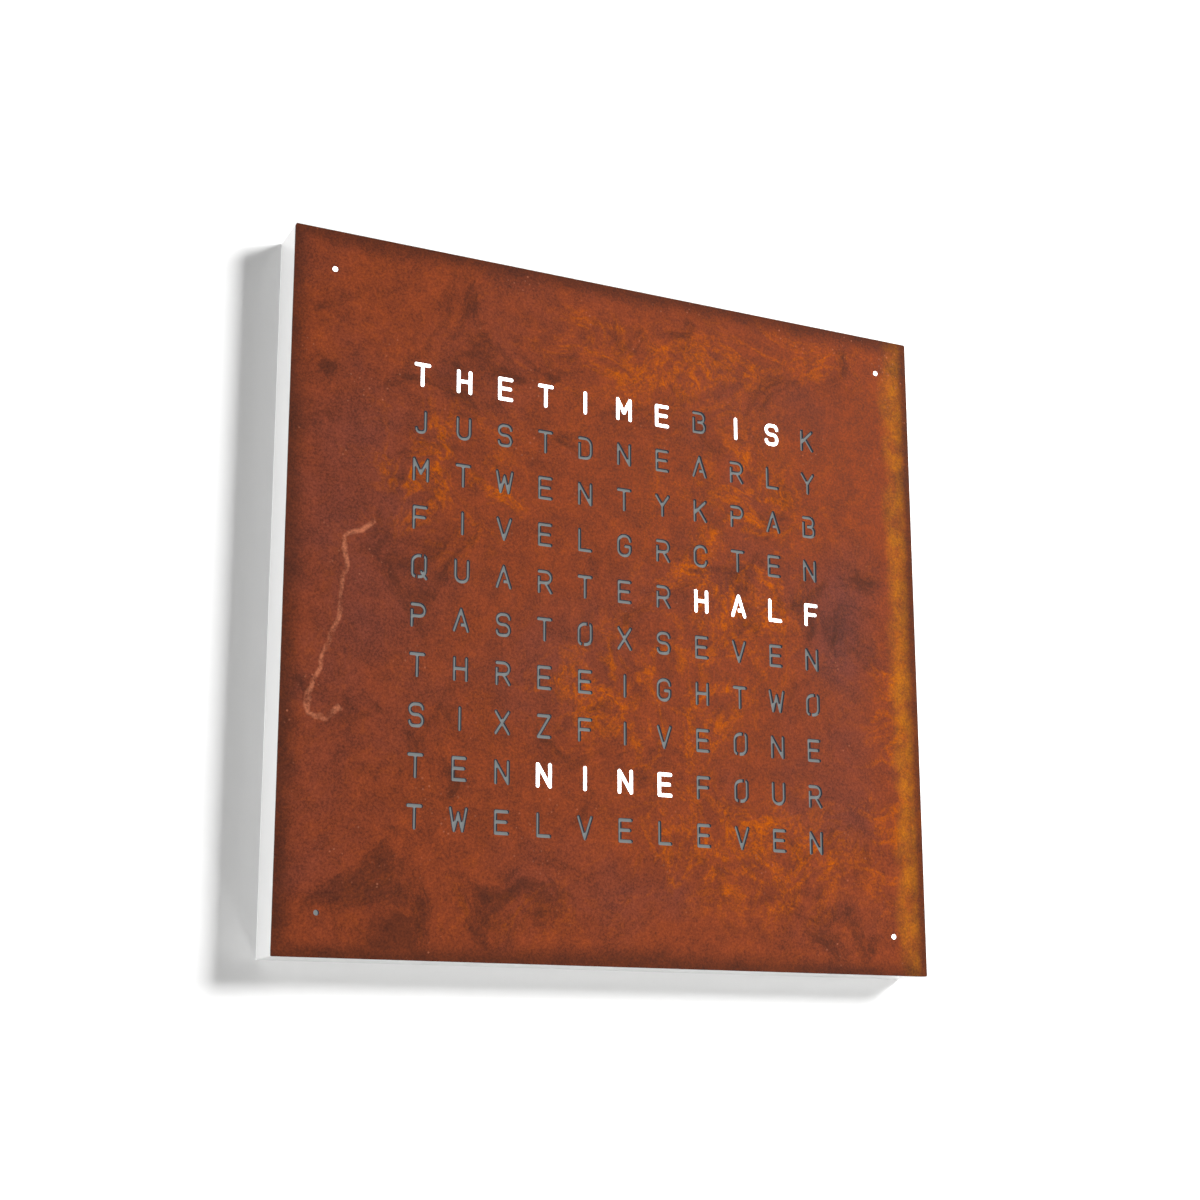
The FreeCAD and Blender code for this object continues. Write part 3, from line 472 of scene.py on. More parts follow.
class Board:
    """Short ways to wire a material's nodes."""

    def __init__(self, name: str) -> None:
        """Makes the material with its shader and its object coordinates.

        Args:
            name: the material's name.
        """
        self.material = bpy.data.materials.new(name)
        self.material.use_nodes = True
        self.tree = self.material.node_tree
        self.shader = self.tree.nodes["Principled BSDF"]
        self.place = self.tree.nodes.new("ShaderNodeTexCoord").outputs["Object"]

    def node(self, kind: str, inputs: dict[str | int, object], **settings: object) -> bpy.types.Node:
        """Adds a node.

        Args:
            kind: the node's type, without its prefix.
            inputs: for each input's name or number, a socket or a value.
            settings: the node's own properties.

        Returns:
            The node.
        """
        made = self.tree.nodes.new(f"ShaderNode{kind}")
        for name, value in settings.items():
            setattr(made, name, value)
        for name, value in inputs.items():
            if isinstance(value, bpy.types.NodeSocket):
                self.tree.links.new(value, made.inputs[name])
            else:
                made.inputs[name].default_value = value
        return made

    def math(self, work: str, first: object, second: object = 0.0,
             clamp: bool = False) -> bpy.types.NodeSocket:
        """One step of arithmetic on two numbers or sockets."""
        made = self.node("Math", {0: first, 1: second}, operation=work, use_clamp=clamp)
        return made.outputs[0]

    def noise(self, scale: float, detail: float = 4.0, rough: float = 0.55, twist: float = 0.0,
              place: object = None) -> bpy.types.NodeSocket:
        """Adds a noise.

        Args:
            scale: its features for each metre.
            detail: how many finer layers it has.
            rough: how strong the finer layers are.
            twist: how much it is distorted.
            place: the coordinates that it lies in, or none for the object's own.

        Returns:
            The noise value.
        """
        made = self.node("TexNoise", {"Vector": place or self.place, "Scale": scale,
                                      "Detail": detail, "Roughness": rough, "Distortion": twist})
        return made.outputs["Fac"]

    def step(self, value: object, low: float, high: float, to_low: float = 0.0,
             to_high: float = 1.0) -> bpy.types.NodeSocket:
        """Adds a smooth step, level outside its two ends.

        Args:
            value: what is stepped.
            low: the value at which the step begins.
            high: the value at which it ends.
            to_low: the result at its beginning.
            to_high: the result at its end.

        Returns:
            The result.
        """
        made = self.node("MapRange", {"Value": value, "From Min": low, "From Max": high,
                                      "To Min": to_low, "To Max": to_high},
                         interpolation_type="SMOOTHSTEP")
        return made.outputs["Result"]

    def blend(self, share: object, first: object, second: object,
              way: str = "MIX") -> bpy.types.NodeSocket:
        """Mixes two colours.

        Args:
            share: how much of the second colour there is.
            first: the first colour, or a socket.
            second: the second colour, or a socket.
            way: how they are mixed.

        Returns:
            The mixed colour.
        """
        made = self.node("Mix", {"Factor": share}, data_type="RGBA", blend_type=way)
        for number, value in ((6, first), (7, second)):
            if isinstance(value, bpy.types.NodeSocket):
                self.tree.links.new(value, made.inputs[number])
            else:
                made.inputs[number].default_value = (*value, 1.0)
        return made.outputs[2]

    def put(self, **sockets: object) -> None:
        """Sets the shader's inputs.

        Args:
            sockets: a value or a socket for each input, named with underscores for spaces.
        """
        for name, value in sockets.items():
            socket = self.shader.inputs[name.replace("_", " ")]
            if isinstance(value, bpy.types.NodeSocket):
                self.tree.links.new(value, socket)
            elif socket.type == "RGBA":
                socket.default_value = (*value, 1.0)
            else:
                socket.default_value = value

    def bump(self, height: object, depth: float) -> None:
        """Raises the surface by height times depth, in metres."""
        made = self.node("Bump", {"Height": height, "Distance": depth, "Strength": 1.0})
        self.tree.links.new(made.outputs["Normal"], self.shader.inputs["Normal"])


@dataclass(frozen=True)
class Patch:
    """A soft-edged oval of rust on the front sheet, in metres.

    Attributes:
        middle: its X and its Z.
        reach: how far it goes along X and along Z.
        weight: how strong it is in its middle.
    """

    middle: tuple[float, float]
    reach: tuple[float, float]
    weight: float = 1.0


@dataclass(frozen=True)
class RustedSteel:
    """Rusted and sealed sheet steel, with the patches that this front sheet has.

    Attributes:
        red_brown: the ground colour.
        purple_brown: the cooler parts.
        dark: stains and the darker rim.
        orange: the swirling fresh rust.
        ochre: the yellower rust along the right edge.
        pale: thin mineral traces.
        swirls: where the orange is thick.
        cool: where the ground is cooler and darker.
        trace: corner points of the pale run down the left side, in metres.
    """

    red_brown: Colour = srgb(131, 59, 30)
    purple_brown: Colour = srgb(108, 56, 46)
    dark: Colour = srgb(66, 34, 22)
    orange: Colour = srgb(176, 82, 0)
    ochre: Colour = srgb(176, 102, 14)
    pale: Colour = srgb(176, 104, 74)
    swirls: tuple[Patch, ...] = (
        Patch((-0.118, 0.072), (0.062, 0.070)), Patch((0.085, 0.055), (0.085, 0.110), 0.9),
        Patch((0.020, -0.055), (0.110, 0.060), 0.9), Patch((0.010, 0.172), (0.120, 0.040), 0.8),
        Patch((0.090, -0.150), (0.130, 0.060), 0.75), Patch((0.205, -0.080), (0.032, 0.140), 0.9),
        Patch((0.130, 0.200), (0.100, 0.028), 0.6), Patch((-0.100, -0.190), (0.110, 0.030), 0.4),
    )
    cool: tuple[Patch, ...] = (
        Patch((-0.175, 0.010), (0.075, 0.150)), Patch((0.168, 0.000), (0.040, 0.085), 0.9),
        Patch((0.160, -0.110), (0.060, 0.060), 0.8), Patch((0.100, 0.165), (0.110, 0.045), 0.5),
        Patch((-0.060, -0.030), (0.060, 0.060), 0.5), Patch((0.010, -0.185), (0.070, 0.030), 0.6),
    )
    trace: tuple[tuple[float, float], ...] = (
        (-0.170, 0.040), (-0.187, 0.029), (-0.190, -0.020), (-0.199, -0.045), (-0.208, -0.070),
        (-0.207, -0.082), (-0.198, -0.085), (-0.188, -0.078),
    )

    def ovals(self, b: Board, place: object, patches: tuple[Patch, ...]) -> bpy.types.NodeSocket:
        """Adds up soft ovals: each is its weight in the middle and fades to nothing at its reach.

        Along Y the scale is so large that depth doesn't count.

        Args:
            b: the material's board.
            place: the coordinates that the ovals lie in.
            patches: the ovals.

        Returns:
            The sum, held to 1.
        """
        total: object = 0.0
        for patch in patches:
            (x, z), (across, upward) = patch.middle, patch.reach
            local = b.node("Mapping", {"Vector": place, "Location": (x, 0.0, z),
                                       "Scale": (across, 1.0e6, upward)}, vector_type="TEXTURE")
            far = b.node("VectorMath", {0: local.outputs[0]}, operation="LENGTH").outputs["Value"]
            total = b.math("ADD", b.step(far, 0.1, 1.15, patch.weight, 0.0), total, clamp=True)
        return total

    def run_distance(self, b: Board, place: object) -> bpy.types.NodeSocket:
        """Works out how far a point is from the pale run: the least from its straight parts.

        For a part from p to q, the nearest point lies at the share (v - p) . (q - p) / |q - p|^2,
        held between 0 and 1.

        Args:
            b: the material's board.
            place: the coordinates that the line lies in.

        Returns:
            The distance from the line in metres.
        """
        least: object = 1.0
        flat = b.node("VectorMath", {0: place, 1: (1.0, 0.0, 1.0)}, operation="MULTIPLY")
        for start, end in zip(self.trace, self.trace[1:]):
            p, q = Vector((start[0], 0.0, start[1])), Vector((end[0], 0.0, end[1]))
            along = (q - p) / (q - p).length_squared
            away = b.node("VectorMath", {0: flat.outputs[0], 1: tuple(p)}, operation="SUBTRACT")
            share = b.node("VectorMath", {0: away.outputs[0], 1: tuple(along)},
                           operation="DOT_PRODUCT").outputs["Value"]
            share = b.math("MAXIMUM", b.math("MINIMUM", share, 1.0), 0.0)
            step = b.node("VectorMath", {0: tuple(q - p), "Scale": share}, operation="SCALE")
            gap = b.node("VectorMath", {0: away.outputs[0], 1: step.outputs[0]},
                         operation="DISTANCE").outputs["Value"]
            least = b.math("MINIMUM", gap, least)
        return least

    def pushed(self, b: Board, scale: float, detail: float, reach: float) -> bpy.types.NodeSocket:
        """Pushes the coordinates about, so that what lies in them has ragged edges.

        The push is a noise's colour less one half, times the reach.

        Args:
            b: the material's board.
            scale: the noise's features for each metre.
            detail: how many finer layers the noise has.
            reach: how far the push goes, in metres.

        Returns:
            The moved coordinates.
        """
        swirl = b.node("TexNoise", {"Vector": b.place, "Scale": scale, "Detail": detail})
        push = b.node("VectorMath", {0: swirl.outputs["Color"], 1: (0.5, 0.5, 0.5)},
                      operation="SUBTRACT")
        push = b.node("VectorMath", {0: push.outputs[0], "Scale": reach}, operation="SCALE")
        return b.node("VectorMath", {0: b.place, 1: push.outputs[0]}, operation="ADD").outputs[0]

    def ground(self, b: Board, broad: object, ragged: object) -> bpy.types.NodeSocket:
        """Colours the ground: red-brown, with cooler and darker areas.

        Args:
            b: the material's board.
            broad: coordinates with wide swirls.
            ragged: coordinates with ragged edges.

        Returns:
            The colour.
        """
        cloud = b.math("SUBTRACT", b.noise(9.0, 6.0, 0.62, place=broad), 0.5)
        cool = b.math("ADD", b.math("MULTIPLY", self.ovals(b, ragged, self.cool), 0.75),
                      b.math("MULTIPLY", cloud, 2.2), clamp=True)
        return b.blend(cool, self.red_brown, self.purple_brown)

    def fresh_rust(self, b: Board, broad: object, ragged: object) -> bpy.types.NodeSocket:
        """Lays the fresh orange rust: curved veils and clumps, broken up by fibres.

        A veil follows the line where a noise crosses one half. It is thick in the swirls.

        Args:
            b: the material's board.
            broad: coordinates with wide swirls.
            ragged: coordinates with ragged edges.

        Returns:
            How thick the rust is.
        """
        where = self.ovals(b, ragged, self.swirls)
        veil = b.math("ABSOLUTE", b.math("SUBTRACT", b.noise(11.0, 6.0, 0.6, 1.2, broad), 0.5))
        veil = b.step(veil, 0.0, 0.045, 1.0, 0.0)
        clump = b.step(b.noise(26.0, 10.0, 0.74, 1.4, broad), 0.47, 0.62, 0.0, 0.85)
        fibre = b.step(b.noise(130.0, 6.0, 0.72, 1.8, broad), 0.40, 0.58, 0.15, 1.0)
        thick = b.math("ADD", b.math("MULTIPLY", veil, 0.75), b.math("MULTIPLY", clump, 0.8))
        return b.math("MULTIPLY", b.math("MULTIPLY", thick, fibre),
                      b.step(where, 0.0, 0.8, 0.12, 1.0), clamp=True)

    def edge_band(self, b: Board, x: object) -> bpy.types.NodeSocket:
        """Lays the ochre band along the right edge, with a wavy inner side.

        Args:
            b: the material's board.
            x: the X coordinate.

        Returns:
            How thick the band is.
        """
        wavy = b.math("ADD", x, b.math("MULTIPLY", b.noise(22.0, 6.0, 0.65), 0.026))
        band = b.math("MULTIPLY", b.step(wavy, 0.213, 0.226), b.step(x, 0.2175, 0.2225, 1.0, 0.15))
        return b.math("MULTIPLY", band, b.step(b.noise(60.0, 6.0, 0.7), 0.34, 0.6, 0.25, 0.9))

    def stains(self, b: Board, broad: object, x: object, z: object) -> bpy.types.NodeSocket:
        """Lays the dark stains, and the darker rim all round.

        Args:
            b: the material's board.
            broad: coordinates with wide swirls.
            x: the X coordinate.
            z: the Z coordinate.

        Returns:
            How dark the stains are.
        """
        stain = b.step(b.noise(17.0, 9.0, 0.7, 0.8, broad), 0.52, 0.68, 0.0, 0.65)
        rim = b.math("MAXIMUM", b.math("ABSOLUTE", x), b.math("ABSOLUTE", z))
        rim = b.math("ADD", rim, b.math("MULTIPLY", b.noise(40.0, 4.0), 0.01))
        return b.math("MAXIMUM", stain, b.step(rim, 0.215, 0.23, 0.0, 0.7))

    def pale_run(self, b: Board) -> bpy.types.NodeSocket:
        """Lays the thin pale run down the left side.

        Args:
            b: the material's board.

        Returns:
            How strong it is.
        """
        gap = self.run_distance(b, self.pushed(b, 60.0, 5.0, 0.010))
        return b.math("MULTIPLY", b.step(gap, 0.0004, 0.0022, 1.0, 0.0),
                      b.step(b.noise(150.0, 4.0, 0.7), 0.36, 0.58, 0.1, 0.85))

    def specks(self, b: Board) -> bpy.types.NodeSocket:
        """Lays small pale specks in groups.

        Args:
            b: the material's board.

        Returns:
            How strong they are.
        """
        speck = b.node("TexVoronoi", {"Vector": b.place, "Scale": 230.0}).outputs["Distance"]
        return b.math("MULTIPLY", b.step(speck, 0.08, 0.2, 1.0, 0.0),
                      b.step(b.noise(26.0, 5.0, 0.6), 0.54, 0.64, 0.0, 0.55))

    def material(self) -> bpy.types.Material:
        """Builds the rust from layers of noise on object coordinates.

        Returns:
            The material.
        """
        b = Board("rusted_steel")
        parts = b.node("SeparateXYZ", {0: b.place})
        x, z = parts.outputs["X"], parts.outputs["Z"]
        broad, ragged = self.pushed(b, 8.0, 3.0, 0.075), self.pushed(b, 26.0, 6.0, 0.05)

        fresh = self.fresh_rust(b, broad, ragged)
        colour = b.blend(fresh, self.ground(b, broad, ragged), self.orange)
        colour = b.blend(self.edge_band(b, x), colour, self.ochre)
        colour = b.blend(self.stains(b, broad, x, z), colour, self.dark)
        colour = b.blend(self.pale_run(b), colour, self.pale)
        colour = b.blend(self.specks(b), colour, self.pale)

        # Fine mottling of one to three millimetres
        mottle = b.math("ADD", b.step(b.noise(650.0, 4.0, 0.85), 0.34, 0.66, 0.50, 1.08),
                        b.step(b.noise(75.0, 5.0, 0.7), 0.34, 0.66, -0.14, 0.14))
        grey = b.node("CombineColor", {0: mottle, 1: mottle, 2: mottle}).outputs[0]
        colour = b.blend(0.9, colour, grey, "MULTIPLY")

        b.put(Base_Color=colour, Roughness=b.step(mottle, 0.5, 1.1, 0.66, 0.86))
        b.put(Specular_IOR_Level=0.08)
        b.bump(b.math("ADD", b.noise(700.0, 4.0, 0.7), b.math("MULTIPLY", fresh, 0.8)), 0.00010)
        return b.material


@dataclass(frozen=True)
class Glow:
    """An even surface that sends out light: the lit cells' own light, and painted light and shade in
    the cuts.

    Attributes:
        name: the material's name.
        colour: the light's colour.
        strength: 1 shows as the colour itself.
        body: how much of the room's light it sends back.
    """

    name: str
    colour: Colour = (1.0, 1.0, 1.0)
    strength: float = 1.3
    body: float = 0.8

    def material(self) -> bpy.types.Material:
        """Builds the glow, a little uneven as an opal sheet is.

        Returns:
            The material.
        """
        b = Board(self.name)
        level = b.step(b.noise(60.0, 2.0), 0.2, 0.8, self.strength, self.strength * 1.06)
        b.put(Base_Color=(self.body,) * 3, Roughness=0.9, Specular_IOR_Level=0.0)
        b.put(Emission_Color=self.colour, Emission_Strength=level)
        return b.material


@dataclass(frozen=True)
class PlainFinish:
    """A finish of one colour with fine grain.

    Attributes:
        name: the material's name.
        colour: the ground colour.
        rough: roughness of the surface.
        metal: 1 for bare metal.
        grain: size of the grain, in grains for each metre.
        depth: height of the grain in metres.
        shade: how much the colour varies.
        coat: weight of a clear coat.
        clear: share of light that passes through.
    """

    name: str
    colour: Colour
    rough: float = 0.5
    metal: float = 0.0
    grain: float = 900.0
    depth: float = 0.00002
    shade: float = 0.06
    coat: float = 0.0
    clear: float = 0.0

    def material(self) -> bpy.types.Material:
        """Builds the finish: mottled colour, uneven roughness and a fine bump.

        Returns:
            The material.
        """
        b = Board(self.name)
        cloud = b.noise(35.0, 3.0)
        darker = tuple(part * (1 - self.shade) for part in self.colour)
        b.put(Base_Color=b.blend(b.step(cloud, 0.35, 0.65), self.colour, darker))
        b.put(Roughness=b.step(b.noise(self.grain / 6, 3.0), 0.3, 0.7, self.rough * 0.88,
                               min(1.0, self.rough * 1.1)))
        b.put(Metallic=self.metal, Coat_Weight=self.coat, Transmission_Weight=self.clear)
        if self.depth > 0:
            b.bump(b.noise(self.grain, 3.0, 0.6), self.depth)
        return b.material


@dataclass(frozen=True)
class BrushedMetal:
    """Rolled or brushed sheet metal with fine lines along X.

    Attributes:
        name: the material's name.
        colour: the metal's colour.
        rough: roughness of the surface.
    """

    name: str
    colour: Colour
    rough: float = 0.38

    def material(self) -> bpy.types.Material:
        """Builds the metal: long thin noise for the lines, and cloudy zinc over it.

        Returns:
            The material.
        """
        b = Board(self.name)
        lines = b.node("Mapping", {"Vector": b.place, "Scale": (25.0, 900.0, 900.0)}).outputs[0]
        line = b.noise(1.0, 4.0, 0.6, place=lines)
        darker = tuple(part * 0.72 for part in self.colour)
        cloud = b.step(b.noise(90.0, 4.0), 0.35, 0.65)
        b.put(Base_Color=b.blend(b.math("MULTIPLY", cloud, line), self.colour, darker))
        b.put(Metallic=1.0, Roughness=b.step(line, 0.3, 0.7, self.rough * 0.8, self.rough * 1.25))
        b.bump(line, 0.00002)
        return b.material


@dataclass
class Finishes:
    """Every finish of the clock, by the record's slot, and those of the cuts' insides: glows that
    paint light and shade there, one of them also the lit cells' own light.
    """

    by_slot: dict[str, bpy.types.Material] = field(default_factory=dict)
    painted_shade_glow: bpy.types.Material | None = None
    painted_grey_glow: bpy.types.Material | None = None
    led_glow_and_painted_light: bpy.types.Material | None = None

    def build(self) -> None:
        """Makes the materials that the record's slots name."""
        white = (0.86, 0.86, 0.855)
        plain = (
            PlainFinish("white_lacquer", white, 0.32, grain=220.0, depth=0.0000012, shade=0.01,
                        coat=0.3),
            PlainFinish("magnet_nickel", (0.62, 0.61, 0.58), 0.22, 1.0, 500.0),
            PlainFinish("diffuser_plastic", srgb(128, 139, 141), 0.6, shade=0.05),
            PlainFinish("grid_plastic", (0.85, 0.85, 0.84), 0.55),
            PlainFinish("circuit_board", (0.82, 0.84, 0.82), 0.4, coat=0.2),
            PlainFinish("lamp_package", (0.88, 0.83, 0.55), 0.35, coat=0.3),
            PlainFinish("carrier_plastic", (0.035, 0.035, 0.037), 0.6, grain=1400.0, depth=0.00004,
                        shade=0.2),
            PlainFinish("rear_grey", (0.06, 0.062, 0.066), 0.6, grain=1100.0, depth=0.00006,
                        shade=0.25),
            PlainFinish("brass_parts", (0.72, 0.55, 0.25), 0.3, 1.0),
            PlainFinish("chip_black", (0.018, 0.018, 0.019), 0.5, grain=1800.0, shade=0.2),
            PlainFinish("capacitor_can", (0.72, 0.72, 0.74), 0.25, 1.0),
            PlainFinish("ribbon_grey", (0.42, 0.43, 0.45), 0.5),
            PlainFinish("lead_sheath", (0.8, 0.8, 0.78), 0.55),
            PlainFinish("clear_pipe", (0.9, 0.93, 0.94), 0.08, depth=0.0, clear=0.9),
            PlainFinish("button_white", (0.42, 0.42, 0.415), 0.4, coat=0.1),
        )
        metal = (
            BrushedMetal("bare_steel", (0.62, 0.62, 0.64)),
            BrushedMetal("hanger_steel", (0.56, 0.57, 0.58), 0.42),
        )
        for finish in plain + metal:
            self.by_slot[finish.name] = finish.material()
        self.by_slot["rusted_steel"] = RustedSteel().material()
        # painted shade: a dark glow on the cut walls of unlit letters and over the diffuser's front
        self.painted_shade_glow = Glow("painted_shade_glow", srgb(52, 60, 70), 0.75, 0.02).material()
        # painted light: an even grey glow on the unlit letters' diffuser and on the lower right cut
        # walls
        self.painted_grey_glow = Glow("painted_grey_glow", srgb(132, 137, 137), 0.85, 0.04).material()
        # the lit cells' own light from the lamps behind them, also used as painted light on the cut
        # walls of lit letters
        self.led_glow_and_painted_light = Glow("led_glow_and_painted_light", strength=1.6).material()

    def dress_nodes(self, frame: dict) -> None:
        """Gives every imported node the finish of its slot.
        """
        for entry in frame["record"]["subparts"]:
            node = frame["nodes"][entry["node"]]
            node.data.materials.clear()
            node.data.materials.append(self.by_slot[entry["material_slot"]])


@dataclass
class FrontCover:
    """The steel front sheet with its letters and minute holes cut right through.

    Attributes:
        side: the sheet's side.
        corner: radius of its corners.
        front: how far its front is from the wall.
        thick: the sheet's thickness.
        corner_points: points along each rounded corner.
        lettering: what is cut through it.
        minutes: the round holes in its corners.
    """

    side: float = 450.0
    corner: float = 0.8
    front: float = 32.0
    thick: float = 2.0
    corner_points: int = 5
    lettering: Lettering = field(default_factory=Lettering)
    minutes: MinuteLights = field(default_factory=MinuteLights)

    def rim(self) -> Points:
        """Works out the sheet's outline: four quarter circles joined by straight sides.

        Returns:
            The outline's points, anticlockwise seen from the front.
        """
        angle = np.linspace(0, math.pi / 2, self.corner_points)
        turns = np.arange(4)[:, None] * math.pi / 2
        middle = self.side / 2 - self.corner
        quarter = np.stack([np.cos(angle + turns), np.sin(angle + turns)], axis=2) * self.corner
        signs = np.array([(1, 1), (-1, 1), (-1, -1), (1, -1)])[:, None, :]
        return (quarter + signs * middle).reshape(-1, 2)

    def build(self, finishes: Finishes) -> bpy.types.Object:
        """Makes the sheet.

        The outline and every cut go into one constrained triangulation. The triangles that only
        the outline covers are metal. They are laid on both faces, and each edge that a single
        metal triangle has becomes a wall through the sheet.

        Args:
            finishes: the clock's finishes.

        Returns:
            The sheet's object.
        """
        cuts = self.lettering.outlines() + self.minutes.outlines()
        places, parts, owners = cut_plane([self.rim()] + [outline for outline, _ in cuts])
        metal = parts[np.array([owned == [0] for owned in owners])]
        used, renumbered = np.unique(metal, return_inverse=True)
        metal, places = renumbered.reshape(-1, 3), places[used]
        count = len(places)
        border, walls = border_edges(metal, count), border_walls(metal, count)
        front = np.column_stack([places[:, 0], np.full(count, -self.front), places[:, 1]])
        back = front + np.array([0.0, self.thick, 0.0])
        points = np.vstack([front, back]) * MM
        skin = np.concatenate([metal, metal[:, ::-1] + count])
        thing = new_mesh("steel_front_sheet", points, skin.tolist() + walls.tolist())

        kinds = self.wall_kinds(places, border, cuts)
        slots = np.concatenate([np.full(len(skin), int(SheetSkin.RUST)), kinds])
        thing.data.polygons.foreach_set("material_index", slots)
        # the rim is rust; the cut walls are dressed in glows that paint light and shade
        dress = {SheetSkin.RUST: finishes.by_slot["rusted_steel"],
                 SheetSkin.SHADED: finishes.painted_shade_glow, SheetSkin.LIT: finishes.led_glow_and_painted_light,
                 SheetSkin.PAINTED_GREY: finishes.painted_grey_glow}
        for skin_kind in SheetSkin:
            thing.data.materials.append(dress[skin_kind])
        thing.data.update()
        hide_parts("front_cover")
        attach(thing, "cover")
        return thing

    def wall_kinds(self, places: Points, border: Points,
                   cuts: list[tuple[Points, Light]]) -> Points:
        """Says which finish each wall has.

        A wall at the rim is rusted, and one in a lit cut gets painted light. In an unlit cut the
        lower right walls get painted light as grey as the sheet behind, and the others get painted
        shade.

        Args:
            places: the sheet's points, seen from the front.
            border: the two points of each wall.
            cuts: every cut with whether it is lit.

        Returns:
            The number of each wall's finish.
        """
        margin = 0.01
        middles, along = places[border].mean(axis=1), places[border[:, 1]] - places[border[:, 0]]
        kinds = np.full(len(middles), int(SheetSkin.SHADED))
        kinds[np.max(np.abs(middles), axis=1) > self.side / 2 - self.corner] = SheetSkin.RUST
        for outline, light in cuts:
            if light is Light.LIT:
                low, high = outline.min(axis=0) - margin, outline.max(axis=0) + margin
                inside = np.all((middles > low) & (middles < high), axis=1)
                # painted light on the walls of lit cuts
                kinds[inside] = SheetSkin.LIT
        # painted light on the lower right walls of unlit cuts, as grey as the sheet behind; the rest
        # keep painted shade
        kinds[(kinds == SheetSkin.SHADED) & (along[:, 0] - along[:, 1] < 0)] = SheetSkin.PAINTED_GREY
        return kinds


@dataclass
class DiffuserSheet:
    """The opal sheet behind the cuts: painted shadow over its front, open at every letter.

    Attributes:
        lettering: which cells there are.
        minutes: where the minute lights are.
        minute_cell: side of the lit square behind a minute hole.
        painted_shadow_shift: how far the openings in the painted shadow lie from the cuts, along X
            and Z. It leaves a thin painted shadow on the upper left of each unlit stroke.
        cell_gap: how far a lit square stays inside its cell.
        set_back: how far its front lies behind the steel sheet.
    """

    lettering: Lettering = field(default_factory=Lettering)
    minutes: MinuteLights = field(default_factory=MinuteLights)
    minute_cell: float = 10.0
    painted_shadow_shift: tuple[float, float] = (1.28, 0.12)
    cell_gap: float = 0.4
    set_back: float = 0.02

    def regions(self) -> list[tuple[Points, Light]]:
        """Works out the openings in the painted shadow.

        A lit cell is open as a whole, and an unlit one in the shape of its letter.

        Returns:
            Each opening's outline with whether it is lit.
        """
        lettering = self.lettering
        half = np.array([lettering.column_pitch, lettering.row_pitch]) / 2 - self.cell_gap
        square = np.array([(-1, -1), (1, -1), (1, 1), (-1, 1)])
        found = []
        for row, letters in enumerate(lettering.rows):
            for column in range(len(letters)):
                if lettering.is_lit(row, column):
                    cell = square * half + np.array(lettering.centre(row, column))
                    found.append((cell, Light.LIT))
        for outline, light in lettering.outlines():
            if light is Light.UNLIT:
                found.append((outline + np.array(self.painted_shadow_shift), light))
        for corner, light in self.minutes.lit:
            cell = square * self.minute_cell / 2 + np.array(corner) * self.minutes.reach
            found.append((cell, light))
        return found

    def build(self, finishes: Finishes) -> bpy.types.Object:
        """Makes the sheet as a closed slab whose front is parted along the openings in the painted
        shadow.

        Args:
            finishes: the clock's finishes.

        Returns:
            The sheet's object.
        """
        low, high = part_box("diffuser_sheet")
        edge = high[0] / MM
        regions = self.regions()
        rim = np.array([(-edge, -edge), (edge, -edge), (edge, edge), (-edge, edge)])
        loops = [rim] + [outline for outline, _ in regions]
        places, parts, owners = cut_plane(loops)
        lights = {number + 1: light for number, (_, light) in enumerate(regions)}
        kinds = np.array([self.kind({lights[owner] for owner in owned if owner})
                          for owned in owners])
        count = len(places)
        front_y = low[1] / MM + self.set_back
        front = np.column_stack([places[:, 0], np.full(count, front_y), places[:, 1]])
        back = front.copy()
        back[:, 1] = high[1] / MM
        walls = border_walls(parts, count)
        faces = parts.tolist() + (parts[:, ::-1] + count).tolist() + walls.tolist()
        thing = new_mesh("opal_diffuser", np.vstack([front, back]) * MM, faces)
        plain = np.full(len(parts) + len(walls), int(DiffuserSkin.PLAIN))
        thing.data.polygons.foreach_set("material_index", np.concatenate([kinds, plain]))
        # the front gets painted shadow, unlit letters painted grey light, lit cells the lamps' own
        # light
        dress = {DiffuserSkin.PAINTED_SHADOW: finishes.painted_shade_glow,
                 DiffuserSkin.UNLIT: finishes.painted_grey_glow, DiffuserSkin.LIT: finishes.led_glow_and_painted_light,
                 DiffuserSkin.PLAIN: finishes.by_slot["diffuser_plastic"]}
        for skin_kind in DiffuserSkin:
            thing.data.materials.append(dress[skin_kind])
        thing.data.update()
        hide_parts("diffuser_sheet")
        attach(thing, "housing")
        return thing

    def kind(self, covering: set[Light]) -> DiffuserSkin:
        """Chooses the finish of a part of the front by the openings that it lies in.

        Args:
            covering: the lights of the openings over it.

        Returns:
            The finish.
        """
        if Light.LIT in covering:
            return DiffuserSkin.LIT
        # outside every opening the front gets the painted shadow
        return DiffuserSkin.UNLIT if covering else DiffuserSkin.PAINTED_SHADOW


